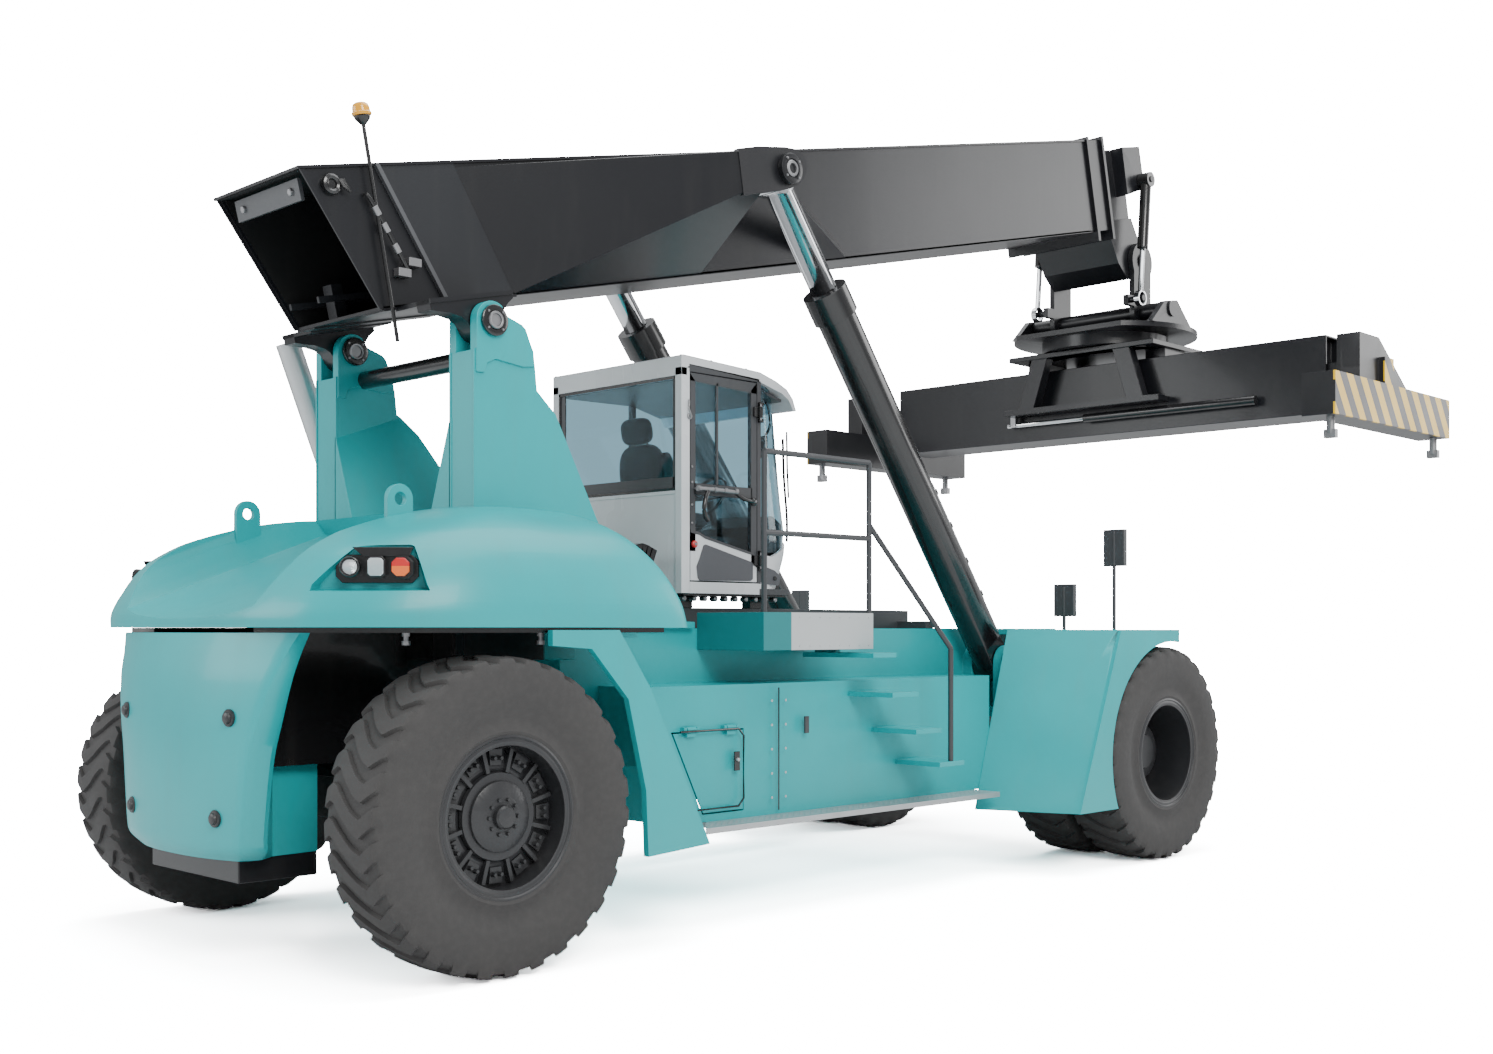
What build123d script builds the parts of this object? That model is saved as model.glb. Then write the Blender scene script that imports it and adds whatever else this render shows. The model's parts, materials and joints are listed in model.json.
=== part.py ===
from build123d import *
import math
import os

os.makedirs("parts", exist_ok=True)

# Reach stacker for containers, in millimetres.  +X is forward, +Z is up.
# x is written forward of the steered (rear) axle; the frame's origin lies on
# the ground under the middle of the whole machine.

# ---- wheels and axles
WHEELBASE = 6700.0
TYRE_D = 1800.0
TYRE_W = 500.0
RIM_R = 430.0
HUB_H = TYRE_D / 2
REAR_TYRE_Y = 1570.0
FRONT_TYRE_Y = 1830.0
DUAL_PITCH = 580.0
KINGPIN_Y = 1370.0
SPINDLE_R = 90.0
BEARING_GAP = 0.1
SLIDE_GAP = 0.3
RUN_GAP = 6.0

# ---- overall reach
REAR_END = 1160.0
SPREADER_X = 9050.0
END_BEAM_L = 2540.0
FRONT_END = SPREADER_X + END_BEAM_L / 2
REAR_X = (REAR_END - FRONT_END) / 2

# ---- chassis
FRAME_TOP = 1950.0
FRAME_Y = 850.0
GIRDER_W = 290.0
REAR_FRAME_Y = 540.0
REAR_GIRDER_W = 240.0
BOX_Y = 1300.0
BOX_TOP = 1570.0
BOX_FOOT = 660.0
SHEET = 25.0
WALK_Y = 1550.0
WALK_T = 40.0

# ---- boom
BOOM_PIVOT_X = 530.0
BOOM_PIVOT_Z = 3845.0
BOOM_ANGLE = 13.4
BOOM_Y = 500.0
BOOM_FOOT_V = 175.0
BOOM_TOP_V = 1040.0
BOOM_WALL = 25.0
BOOM_END_U = 7830.0
FLANGE_GAP = 270.0
PAD_GAP = 60.0
INNER_END_U = 8600.0
PIVOT_PIN_R = 70.0
EAR_R = 122.0
TOWER_IN_Y = 660.0
TOWER_OUT_Y = 920.0
TOWER_EAR = 55.0

# ---- lift cylinders
LIFT_Y = 1050.0
LIFT_BASE_X = 5600.0
LIFT_BASE_Z = 1660.0
LIFT_EYE_X = 2900.0
LIFT_EYE_Z = 5210.0
LIFT_BARREL_R = 150.0
LIFT_ROD_R = 100.0
LIFT_BARREL_L = 3520.0
LIFT_ROD_L = 3300.0
LIFT_EYE_W = 200.0
LIFT_PIN_R = 60.0
LIFT_EYE_R = 155.0

# ---- spreader head
NOSE_X = 8950.0
NOSE_Z = 5670.0
NOSE_Y = 440.0
NOSE_PIN_R = 80.0
LUG_T = 55.0
LUG_R = 190.0
TRUNNION_Z = 5150.0
TRUNNION_Y = 830.0
DAMPER_Y = 610.0
DAMPER_TOP_X = 8830.0
DAMPER_TOP_Z = 6450.0
DAMPER_FOOT_X = 8720.0
DAMPER_FOOT_Z = 5250.0
DAMPER_R = 55.0
DAMPER_ROD_R = 28.0
DAMPER_BARREL_L = 690.0
DAMPER_ROD_L = 860.0
DISC_R = 700.0
SPIGOT_R = 300.0
HEAD_PLATE_Z = 4930.0
PLATE_T = 50.0
FRAME_PLATE_Z = 4750.0

# ---- spreader
BEAM_HALF_X = 280.0
BEAM_TOP = 4650.0
BEAM_FOOT = 3930.0
BEAM_Y = 2500.0
BEAM_WALL = 20.0
ARM_X = 200.0
ARM_Z = 160.0
ARM_L = 3700.0
END_Y = 3030.0
END_W = 300.0
END_TOP = 4150.0
END_FOOT = 3780.0
LOCK_PITCH = 2259.0
LOCK_Y = 2926.5
LOCK_R = 35.0
LOCK_FOOT = 3590.0

# ---- cab
CAB_REAR = 2325.0
CAB_Y = 720.0
CAB_WALL = 50.0
CAB_FLOOR = 2200.0
CAB_ROOF = 3890.0
DOOR_REAR = 2410.0
DOOR_FRONT = 3090.0
DOOR_FOOT = 2290.0
DOOR_TOP = 3770.0
DOOR_T = 40.0
DOOR_GAP = 6.0
RAIL_Y = 500.0
RAIL_W = 90.0

side = Plane(origin=(REAR_X, 0, 0), x_dir=(1, 0, 0), z_dir=(0, -1, 0))
plan = Plane(origin=(REAR_X, 0, 0), x_dir=(1, 0, 0), z_dir=(0, 0, 1))
cross = Plane(origin=(REAR_X, 0, 0), x_dir=(0, 1, 0), z_dir=(1, 0, 0))
tilt = math.radians(BOOM_ANGLE)
boom_plane = Plane(
    origin=(REAR_X + BOOM_PIVOT_X, 0, BOOM_PIVOT_Z),
    x_dir=(math.cos(tilt), 0, math.sin(tilt)),
    z_dir=(0, -1, 0),
)


def place(x, y, z):
    """Point given forward of the rear axle, in the part's frame."""
    return Vector(REAR_X + x, y, z)


def in_boom(x, z):
    """Side-view point of the machine, in the boom's own u and v."""
    du, dv = x - BOOM_PIVOT_X, z - BOOM_PIVOT_Z
    return (
        du * math.cos(tilt) + dv * math.sin(tilt),
        dv * math.cos(tilt) - du * math.sin(tilt),
    )


def write(builder, name):
    """Label a finished piece and write it as its own node."""
    builder.part.label = name
    export_step(builder.part, f"parts/{name}.step")


# ======================================================= chassis
front_foot = HUB_H + 350.0
girder_outline = [
    (1120, 1150), (1450, 750), (5200, 750), (5750, front_foot),
    (WHEELBASE + 150, front_foot), (WHEELBASE + 150, FRAME_TOP), (1120, FRAME_TOP),
]
REAR_FRAME_FOOT = 1150.0
REAR_FRAME_TOP = 1750.0
BALLAST_X = -450.0
# cross members between the girders: x from, x to, foot
cross_members = [(1120, 1450, 1150), (3200, 3450, 1250), (5200, 5600, 1250), (6550, 6850, 1250)]
LIFT_LUG_T = 80.0
lug_in = LIFT_Y - LIFT_EYE_W / 2 - RUN_GAP
lug_out = LIFT_Y + LIFT_EYE_W / 2 + RUN_GAP
LUG_FOOT = 1300.0
LUG_HALF = 150.0
with BuildPart() as chassis_frame:
    with BuildSketch(side.offset(-FRAME_Y)):
        with BuildLine():
            Polyline(*girder_outline, close=True)
        make_face()
    extrude(amount=GIRDER_W)
    with BuildSketch(side.offset(-REAR_FRAME_Y)):
        with BuildLine():
            Polyline(
                (BALLAST_X, REAR_FRAME_FOOT), (1200, REAR_FRAME_FOOT), (1200, REAR_FRAME_TOP),
                (BALLAST_X, REAR_FRAME_TOP), close=True,
            )
        make_face()
    extrude(amount=REAR_GIRDER_W)
    # strips that carry the foot of each tower
    with BuildSketch(side.offset(-TOWER_OUT_Y)):
        with BuildLine():
            Polyline(
                (300, REAR_FRAME_TOP), (1200, REAR_FRAME_TOP), (1200, FRAME_TOP), (300, FRAME_TOP),
                close=True,
            )
        make_face()
    extrude(amount=TOWER_OUT_Y - REAR_FRAME_Y + 60)
    # lugs for the foot of each lift cylinder
    for y_out, thick in ((lug_in, lug_in - FRAME_Y), (lug_out + LIFT_LUG_T, LIFT_LUG_T)):
        with BuildSketch(side.offset(-y_out)):
            with BuildLine():
                Polyline(
                    (LIFT_BASE_X - LUG_HALF, LUG_FOOT), (LIFT_BASE_X + LUG_HALF, LUG_FOOT),
                    (LIFT_BASE_X + LUG_HALF, LIFT_BASE_Z), (LIFT_BASE_X - LUG_HALF, LIFT_BASE_Z),
                    close=True,
                )
            make_face()
            with Locations((LIFT_BASE_X, LIFT_BASE_Z)):
                Circle(LUG_HALF)
                Circle(LIFT_PIN_R, mode=Mode.SUBTRACT)
        extrude(amount=thick)
    with BuildSketch(side.offset(-lug_out - LIFT_LUG_T)):
        with Locations((LIFT_BASE_X, LUG_FOOT - 40)):
            Rectangle(2 * LUG_HALF, 80)
    extrude(amount=lug_out + LIFT_LUG_T - FRAME_Y)
    mirror(about=Plane.XZ)
    for x_from, x_to, foot in cross_members:
        with BuildSketch(plan.offset(foot)):
            with Locations(((x_from + x_to) / 2, 0)):
                Rectangle(x_to - x_from, 2 * FRAME_Y - GIRDER_W)
        extrude(amount=FRAME_TOP - foot)
    # bracket under the steered axle's cradle
    with BuildSketch(plan.offset(HUB_H + 130)):
        Rectangle(300, 2 * REAR_FRAME_Y)
    extrude(amount=REAR_FRAME_FOOT - HUB_H - 130)
    with BuildSketch(plan.offset(HUB_H + 170)):
        for sign in (1, -1):
            with Locations((WHEELBASE, sign * (FRAME_Y - GIRDER_W / 2))):
                Rectangle(300, GIRDER_W)
    extrude(amount=front_foot - HUB_H - 170)
write(chassis_frame, "chassis_frame")

# closed lockers and tanks along each side, open towards the girder
BOX_REAR = 1450.0
BOX_FRONT = 5200.0
hatch_outline = [(1700, 1260), (2350, 1260), (2350, 720), (1975, 720)]
HATCH_GAP = 10.0
HATCH_T = 12.0
HINGE_Y = -BOX_Y - 22
HINGE_Z = 1285.0
HINGE_R = 9.0
hinge_at = (1840.0, 2210.0)
for name, sign in (("side_box_left", 1), ("side_box_right", -1)):
    with BuildPart() as side_box:
        with BuildSketch(side.offset(-sign * BOX_Y)):
            with BuildLine():
                Polyline(
                    (BOX_REAR, BOX_TOP), (BOX_REAR, BOX_FOOT + 400), (BOX_REAR + 250, BOX_FOOT),
                    (BOX_FRONT, BOX_FOOT), (BOX_FRONT, BOX_TOP), close=True,
                )
            make_face()
        extrude(amount=sign * (BOX_Y - FRAME_Y))
        with BuildSketch(side.offset(-sign * (BOX_Y - SHEET))):
            with BuildLine():
                Polyline(
                    (BOX_REAR + SHEET, BOX_TOP - SHEET), (BOX_REAR + SHEET, BOX_FOOT + 410),
                    (BOX_REAR + 262, BOX_FOOT + SHEET), (BOX_FRONT - SHEET, BOX_FOOT + SHEET),
                    (BOX_FRONT - SHEET, BOX_TOP - SHEET), close=True,
                )
            make_face()
        extrude(amount=sign * BOX_Y, mode=Mode.SUBTRACT)
        # bulkheads between the lockers
        for x in (2550, 3900):
            with BuildSketch(side.offset(-sign * (BOX_Y - SHEET / 2))):
                with Locations((x, (BOX_TOP + BOX_FOOT) / 2)):
                    Rectangle(SHEET, BOX_TOP - BOX_FOOT - SHEET)
            extrude(amount=sign * (BOX_Y - FRAME_Y - SHEET / 2))
        if sign < 0:
            with BuildSketch(side.offset(BOX_Y)):
                with BuildLine():
                    Polyline(*hatch_outline, close=True)
                make_face()
                offset(amount=HATCH_GAP, kind=Kind.INTERSECTION)
            extrude(amount=-SHEET, mode=Mode.SUBTRACT)
            for x in hinge_at:
                with BuildSketch(cross.offset(x - 70)):
                    with Locations((HINGE_Y, HINGE_Z)):
                        Circle(HINGE_R)
                extrude(amount=140)
                for x_ear in (x - 70, x + 45):
                    with BuildSketch(cross.offset(x_ear)):
                        with Locations((HINGE_Y + 4, HINGE_Z)):
                            Rectangle(38, 30)
                    extrude(amount=25)
    write(side_box, name)

with BuildPart() as side_hatch:
    with BuildSketch(side.offset(BOX_Y + 2)):
        with BuildLine():
            Polyline(*hatch_outline, close=True)
        make_face()
    extrude(amount=-HATCH_T)
    for x in hinge_at:
        with BuildSketch(cross.offset(x - 40)):
            with Locations((HINGE_Y, HINGE_Z)):
                Circle(18)
            with Locations((HINGE_Y + 6, HINGE_Z - 30)):
                Rectangle(24, 40)
            with Locations((HINGE_Y + 8, HINGE_Z - 38)):
                Rectangle(36, 22)
            with Locations((HINGE_Y, HINGE_Z)):
                Circle(HINGE_R + BEARING_GAP, mode=Mode.SUBTRACT)
        extrude(amount=80)
write(side_hatch, "side_hatch")

# counterweight: a cast block with thin cheeks beside the steered wheels
CW_FOOT = 655.0
CW_TOP = 1940.0
# level, half width of the rear face, x at its middle and at its edges, depth of the bevel
cw_levels = [
    (CW_FOOT, 700, -1130, -1040, 90), (CW_FOOT + 60, 750, -1160, -1070, 110),
    (1200, 790, -1160, -1070, 110), (1430, 870, -1150, -1050, 95), (1660, 960, -1110, -1000, 70),
    (CW_TOP, 1115, -1020, -920, 20),
]
with BuildPart() as counterweight:
    for level, half, x_mid, x_edge, bevel in cw_levels:
        outline = [
            (-450, 540), (-750, 560), (x_edge + bevel + 60, half + bevel * 0.4), (x_edge + bevel, half + bevel * 0.8),
            (x_edge, half), ((2 * x_mid + x_edge) / 3 + 10, half * 0.55),
        ]
        with BuildSketch(plan.offset(level)):
            with BuildLine():
                Polyline(*(outline + [(x, -y) for x, y in outline[::-1]]), close=True)
            make_face()
    loft(ruled=True)
write(counterweight, "counterweight")

with BuildPart() as ballast_box:
    with BuildSketch(plan.offset(500)):
        with Locations((-700, 0)):
            Rectangle(500, 1080)
    extrude(amount=CW_FOOT - 500)
write(ballast_box, "ballast_box")

with BuildPart() as engine_block:
    with BuildSketch(plan.offset(REAR_FRAME_TOP)):
        with Locations((250, 0)):
            Rectangle(1250, 900)
    extrude(amount=650)
write(engine_block, "engine_block")

# hood over the engine and the steered wheels: side, front and plan outlines
HOOD_FOOT = 1950.0
HOOD_T = 25.0
hood_y = 1800.0


def hood_form(inset):
    """Crowned hood: three outlines, each drawn in by the sheet's thickness."""
    with BuildPart() as form:
        with BuildSketch(side.offset(-hood_y)):
            with BuildLine():
                Polyline(
                    (-1030 + inset, HOOD_FOOT), (-960 + inset, 2230), (-700 + inset, 2500 - inset),
                    (-250, 2630 - inset), (370, 2680 - inset), (760, 2630 - inset),
                    (1080 - inset, 2470 - inset), (1330 - inset, 2220), (1440 - inset, HOOD_FOOT),
                    close=True,
                )
            make_face()
        extrude(amount=2 * hood_y)
        with BuildSketch(cross.offset(-2000)):
            with BuildLine():
                Polyline(
                    (-1820 + inset, HOOD_FOOT), (-1790 + inset, 2200), (-1600 + inset, 2440 - inset),
                    (-1150, 2610 - inset), (-600, 2690 - inset), (600, 2690 - inset),
                    (1150, 2610 - inset), (1600 - inset, 2440 - inset), (1790 - inset, 2200),
                    (1820 - inset, HOOD_FOOT), close=True,
                )
            make_face()
        extrude(amount=4000, mode=Mode.INTERSECT)
        with BuildSketch(plan.offset(HOOD_FOOT)):
            with BuildLine():
                Polyline(
                    (-1040 + inset, -900), (-980 + inset, -1350 + inset / 2), (-760 + inset, -1660 + inset),
                    (-350, -1810 + inset), (1500, -1810 + inset), (1500, 1810 - inset),
                    (-350, 1810 - inset), (-760 + inset, 1660 - inset), (-980 + inset, 1350 - inset / 2),
                    (-1040 + inset, 900), close=True,
                )
            make_face()
        extrude(amount=900, mode=Mode.INTERSECT)
    return form.part


LAMP_Y = (1380.0, 1700.0)
LAMP_Z = (2120.0, 2340.0)
LAMP_X = (-1000.0, -560.0)
EYE_X = -200.0
EYE_Y = 850.0
EYE_Z = 2660.0
EYE_BORE = 35.0
STACK_R = 85.0
stack_foot = place(900, 1180, 2500)
stack_top = place(330, 1180, 3950)
stack_run = stack_top - stack_foot
hood_outer = hood_form(0)
hood_inner = hood_form(HOOD_T)
with BuildPart() as hood:
    add(hood_outer)
    add(hood_inner, mode=Mode.SUBTRACT)
    # slots round the towers, and room for the cab at the front
    with BuildSketch(plan.offset(HOOD_FOOT - 10)):
        for sign in (1, -1):
            with Locations((1000, sign * (TOWER_IN_Y + TOWER_OUT_Y) / 2)):
                Rectangle(2 * (1000 - 345), TOWER_OUT_Y - TOWER_IN_Y + 24)
    extrude(amount=1200, mode=Mode.SUBTRACT)
    for sign in (1, -1):
        with BuildSketch(plan.offset(LAMP_Z[0])):
            with Locations(((LAMP_X[0] + LAMP_X[1]) / 2, sign * (LAMP_Y[0] + LAMP_Y[1]) / 2)):
                Rectangle(LAMP_X[1] - LAMP_X[0], LAMP_Y[1] - LAMP_Y[0])
        extrude(amount=LAMP_Z[1] - LAMP_Z[0], mode=Mode.SUBTRACT)
        with BuildSketch(cross.offset(EYE_X - 20)):
            with Locations((sign * EYE_Y, EYE_Z)):
                Rectangle(110, 120)
            with Locations((sign * EYE_Y, EYE_Z + 60)):
                Circle(75)
                Circle(EYE_BORE, mode=Mode.SUBTRACT)
        extrude(amount=40)
    # hole for the exhaust stack
    with BuildSketch(Plane(origin=stack_foot - stack_run * 0.1, z_dir=stack_run)):
        Circle(STACK_R + 8)
    extrude(amount=500, mode=Mode.SUBTRACT)
write(hood, "hood")

with BuildPart() as rear_lamps:
    for sign in (1, -1):
        with BuildSketch(plan.offset(LAMP_Z[0])):
            with BuildLine():
                Polyline(
                    (LAMP_X[1], sign * LAMP_Y[0]), (LAMP_X[1], sign * (LAMP_Y[1] - 60)),
                    (-760, sign * (LAMP_Y[1] - 90)), (-930, sign * LAMP_Y[0]), close=True,
                )
            make_face()
        extrude(amount=LAMP_Z[1] - LAMP_Z[0])
write(rear_lamps, "rear_lamps")

# towers: box columns with a fork at the top for the boom's foot
tower_outline = [
    (400, FRAME_TOP), (400, BOOM_PIVOT_Z), (700, BOOM_PIVOT_Z), (945, 3600), (1610, 2510),
    (1655, FRAME_TOP),
]
FORK_FOOT = BOOM_PIVOT_Z - EAR_R - 60
CROSS_TUBE_R = 60.0
cross_tube_at = (620.0, 3660.0)
with BuildPart() as towers:
    with BuildSketch(side.offset(-TOWER_OUT_Y)):
        with BuildLine():
            Polyline(*tower_outline, close=True)
        make_face()
        with Locations((BOOM_PIVOT_X, BOOM_PIVOT_Z)):
            Circle(EAR_R)
        with Locations((620, BOOM_PIVOT_Z + 60)):
            Rectangle(520, 120, mode=Mode.SUBTRACT)
        with Locations((BOOM_PIVOT_X, BOOM_PIVOT_Z)):
            Circle(EAR_R)
    extrude(amount=TOWER_OUT_Y - TOWER_IN_Y)
    # slot of the fork
    with BuildSketch(side.offset(-TOWER_OUT_Y + TOWER_EAR)):
        with Locations((650, FORK_FOOT + 300)):
            Rectangle(900, 600)
    extrude(amount=TOWER_OUT_Y - TOWER_IN_Y - 2 * TOWER_EAR, mode=Mode.SUBTRACT)
    with BuildSketch(side.offset(-TOWER_OUT_Y)):
        with Locations((BOOM_PIVOT_X, BOOM_PIVOT_Z)):
            Circle(PIVOT_PIN_R + BEARING_GAP)
    extrude(amount=TOWER_OUT_Y - TOWER_IN_Y, mode=Mode.SUBTRACT)
    mirror(about=Plane.XZ)
write(towers, "towers")

with BuildPart() as tower_cross_tube:
    with BuildSketch(side.offset(-TOWER_IN_Y)):
        with Locations(cross_tube_at):
            Circle(CROSS_TUBE_R)
    extrude(amount=2 * TOWER_IN_Y)
write(tower_cross_tube, "tower_cross_tube")

# flared panels behind the steered wheels
fender_face = [
    (290, 1940), (790, 1940), (1030, 1600), (1535, 610), (1020, 580), (1000, 980), (860, 1530),
    (580, 1830), (290, 1850),
]
FENDER_Y = 1820.0
FENDER_T = 45.0
flare = [(790, 1940), (1030, 1600), (1535, 610), (1490, 610), (985, 1600), (745, 1940)]
with BuildPart() as rear_fenders:
    with BuildSketch(side.offset(-FENDER_Y)):
        with BuildLine():
            Polyline(*fender_face, close=True)
        make_face()
    extrude(amount=FENDER_T)
    for y, shift in ((FENDER_Y - FENDER_T, 0), (BOX_Y, 450)):
        with BuildSketch(side.offset(-y)):
            with BuildLine():
                Polyline(*[(x + shift, z) for x, z in flare], close=True)
            make_face()
    loft(ruled=True)
    # rail from the flare's top to the tower's foot
    with BuildSketch(plan.offset(1890)):
        with Locations((1310, (TOWER_OUT_Y + BOX_Y) / 2)):
            Rectangle(150, BOX_Y - TOWER_OUT_Y + 20)
    extrude(amount=50)
    mirror(about=Plane.XZ)
write(rear_fenders, "rear_fenders")

ARCH_R = TYRE_D / 2 + 40
FRONT_FENDER_Y = 2100.0
DECK_T = 40.0
arch_foot = 500.0
arch_x = WHEELBASE - math.sqrt(ARCH_R**2 - (HUB_H - arch_foot) ** 2)
flare_top = WHEELBASE - 810.0
flare_foot = WHEELBASE - 1410.0
with BuildPart() as front_fenders:
    with BuildSketch(side.offset(-FRONT_FENDER_Y)):
        with BuildLine():
            Polyline(
                (arch_x, arch_foot), (flare_foot, arch_foot), (flare_top, 1940), (WHEELBASE + 120, 1940),
                (WHEELBASE + 120, 1830), (WHEELBASE, 1830), close=True,
            )
        make_face()
        with Locations((WHEELBASE, HUB_H)):
            Circle(ARCH_R, mode=Mode.SUBTRACT)
    extrude(amount=SHEET)
    for y, shift_top, shift_foot in ((FRONT_FENDER_Y - SHEET, 0, 0), (BOX_Y + 2, -440, -290)):
        with BuildSketch(side.offset(-y)):
            with BuildLine():
                Polyline(
                    (flare_top + 40 + shift_top, 1940), (flare_foot + 40 + shift_foot, arch_foot),
                    (flare_foot + shift_foot, arch_foot), (flare_top + shift_top, 1940), close=True,
                )
            make_face()
    loft(ruled=True)
    with BuildSketch(plan.offset(1940 - DECK_T)):
        with BuildLine():
            Polyline(
                (flare_top + 10, FRONT_FENDER_Y - 5), (WHEELBASE + 120, FRONT_FENDER_Y - 5),
                (WHEELBASE + 120, FRAME_Y), (flare_top - 40, FRAME_Y), (flare_top - 40, BOX_Y),
                (flare_top - 390, BOX_Y + 10),
                close=True,
            )
        make_face()
    extrude(amount=DECK_T)
    mirror(about=Plane.XZ)
write(front_fenders, "front_fenders")

with BuildPart() as walkways:
    with BuildSketch(plan.offset(BOX_FOOT - WALK_T)):
        with BuildLine():
            Polyline(
                (1760, WALK_Y), (5000, WALK_Y), (5000, BOX_Y - 60), (2000, BOX_Y - 60), (2000, BOX_Y), close=True
            )
        make_face()
    extrude(amount=WALK_T)
    mirror(about=Plane.XZ)
write(walkways, "walkways")

PLATFORM_Y = 1500.0
PLATFORM_X = (2350.0, 3500.0)
PLATFORM_Z = (1800.0, 2060.0)
with BuildPart() as cab_platform:
    with BuildSketch(plan.offset(PLATFORM_Z[0])):
        with Locations((sum(PLATFORM_X) / 2, -(PLATFORM_Y + FRAME_Y) / 2)):
            Rectangle(PLATFORM_X[1] - PLATFORM_X[0], PLATFORM_Y - FRAME_Y)
    extrude(amount=PLATFORM_Z[1] - PLATFORM_Z[0])
    with BuildSketch(plan.offset(PLATFORM_Z[0])):
        with Locations((sum(PLATFORM_X) / 2, -(PLATFORM_Y + FRAME_Y) / 2)):
            Rectangle(PLATFORM_X[1] - PLATFORM_X[0] - 2 * SHEET, PLATFORM_Y - FRAME_Y - 2 * SHEET)
    extrude(amount=PLATFORM_Z[1] - PLATFORM_Z[0] - WALK_T, mode=Mode.SUBTRACT)
write(cab_platform, "cab_platform")

# treads: rear edge, height of the top face
tread_table = [(4000, 960), (3720, 1215), (3450, 1490)]
TREAD_X = 300.0
TREAD_Y = 420.0
with BuildPart() as access_steps:
    for x, z in tread_table:
        with BuildSketch(plan.offset(z - 35)):
            with Locations((x + TREAD_X / 2, -BOX_Y - TREAD_Y / 2)):
                Rectangle(TREAD_X, TREAD_Y)
        extrude(amount=35)
    # top tread, carried under the platform
    with BuildSketch(plan.offset(1740)):
        with Locations((3450, -1310)):
            Rectangle(260, 680)
    extrude(amount=35)
    with BuildSketch(plan.offset(1740)):
        with Locations((3450, -1100)):
            Rectangle(60, 200)
    extrude(amount=PLATFORM_Z[0] - 1740)
write(access_steps, "access_steps")

# handrails round the platform: tube runs from, to
RAIL_R = 20.0
TUBE_Y = -PLATFORM_Y + RAIL_R + 5
deck = PLATFORM_Z[1]
handrail_runs = [
    ((2380, TUBE_Y, deck), (2380, TUBE_Y, 3150)),
    ((2380, TUBE_Y, 3150), (3480, TUBE_Y, 3150)),
    ((3480, TUBE_Y, deck), (3480, TUBE_Y, 3150)),
    ((2380, TUBE_Y, 2600), (3480, TUBE_Y, 2600)),
    ((4170, -1690, 960), (4170, -1690, 1800)),
    ((4170, -1690, 1800), (3480, TUBE_Y, 2700)),
]
with BuildPart() as handrails:
    for start, end in handrail_runs:
        run = place(*end) - place(*start)
        with BuildSketch(Plane(origin=place(*start), z_dir=run)):
            Circle(RAIL_R)
        extrude(amount=run.length)
write(handrails, "handrails")

with BuildPart() as cab_rails:
    for sign in (1, -1):
        with BuildSketch(plan.offset(FRAME_TOP)):
            with Locations((3500, sign * RAIL_Y)):
                Rectangle(3200, RAIL_W)
        extrude(amount=150)
        with BuildSketch(plan.offset(FRAME_TOP)):
            for x in (2000, 3325, 5000):
                with Locations((x, sign * (RAIL_Y + FRAME_Y) / 2)):
                    Rectangle(100, FRAME_Y - RAIL_Y)
        extrude(amount=60)
write(cab_rails, "cab_rails")
RAIL_TOP = FRAME_TOP + 150

# mirrors and work lamps stand on the front fenders
with BuildPart() as mirrors:
    for sign in (1, -1):
        for x, y, z_pole, z_low, z_high in (
            (6030, 1950, 2750, 2460, 2760), (5985, 1500, 2300, 2050, 2320),
        ):
            with BuildSketch(plan.offset(1940)):
                with Locations((x, sign * y)):
                    Circle(15)
            extrude(amount=z_pole - 1940)
            with BuildSketch(plan.offset(z_low)):
                with Locations((x + 15, sign * y)):
                    Rectangle(50, 190)
            extrude(amount=z_high - z_low)
write(mirrors, "mirrors")

# exhaust stack beside the left tower
with BuildPart() as exhaust_stack:
    with BuildSketch(Plane(origin=stack_foot, z_dir=stack_run)):
        Circle(STACK_R)
    extrude(amount=stack_run.length)
    with BuildSketch(plan.offset(3000)):
        with Locations((700, (TOWER_OUT_Y + 1180) / 2)):
            Rectangle(80, 1180 - TOWER_OUT_Y)
    extrude(amount=60)
write(exhaust_stack, "exhaust_stack")

# ======================================================= axles and wheels
AXLE_R = 160.0
FRONT_SPINDLE_R = 100.0
front_hub_in = FRONT_TYRE_Y - 500
with BuildPart() as front_axle:
    with BuildSketch(side.offset(-front_hub_in + 30)):
        with Locations((WHEELBASE, HUB_H)):
            Circle(AXLE_R)
    extrude(amount=2 * (front_hub_in - 30))
    with BuildSketch(side.offset(-front_hub_in - 195)):
        with Locations((WHEELBASE, HUB_H)):
            Circle(FRONT_SPINDLE_R)
    extrude(amount=2 * (front_hub_in + 195))
    with BuildSketch(side.offset(-250)):
        with Locations((WHEELBASE, HUB_H)):
            Circle(330)
    extrude(amount=500)
    for sign in (1, -1):
        with BuildSketch(plan.offset(HUB_H)):
            with Locations((WHEELBASE, sign * (FRAME_Y - GIRDER_W / 2))):
                Rectangle(340, GIRDER_W)
        extrude(amount=170)
write(front_axle, "front_axle")

BOSS_R = 70.0
KINGPIN_R = 45.0
with BuildPart() as rear_axle:
    with BuildSketch(plan.offset(HUB_H - 130)):
        Rectangle(240, 2 * 1100)
    extrude(amount=260)
    with BuildSketch(plan.offset(HUB_H - 130)):
        for sign in (1, -1):
            with Locations((0, sign * (1100 + KINGPIN_Y) / 2)):
                Rectangle(2 * BOSS_R - 20, KINGPIN_Y - 1100)
            with Locations((0, sign * KINGPIN_Y)):
                Circle(BOSS_R)
    extrude(amount=260)
    with BuildSketch(plan.offset(HUB_H - 130)):
        for sign in (1, -1):
            with Locations((0, sign * KINGPIN_Y)):
                Circle(KINGPIN_R + BEARING_GAP)
    extrude(amount=260, mode=Mode.SUBTRACT)
write(rear_axle, "rear_axle")

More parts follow.
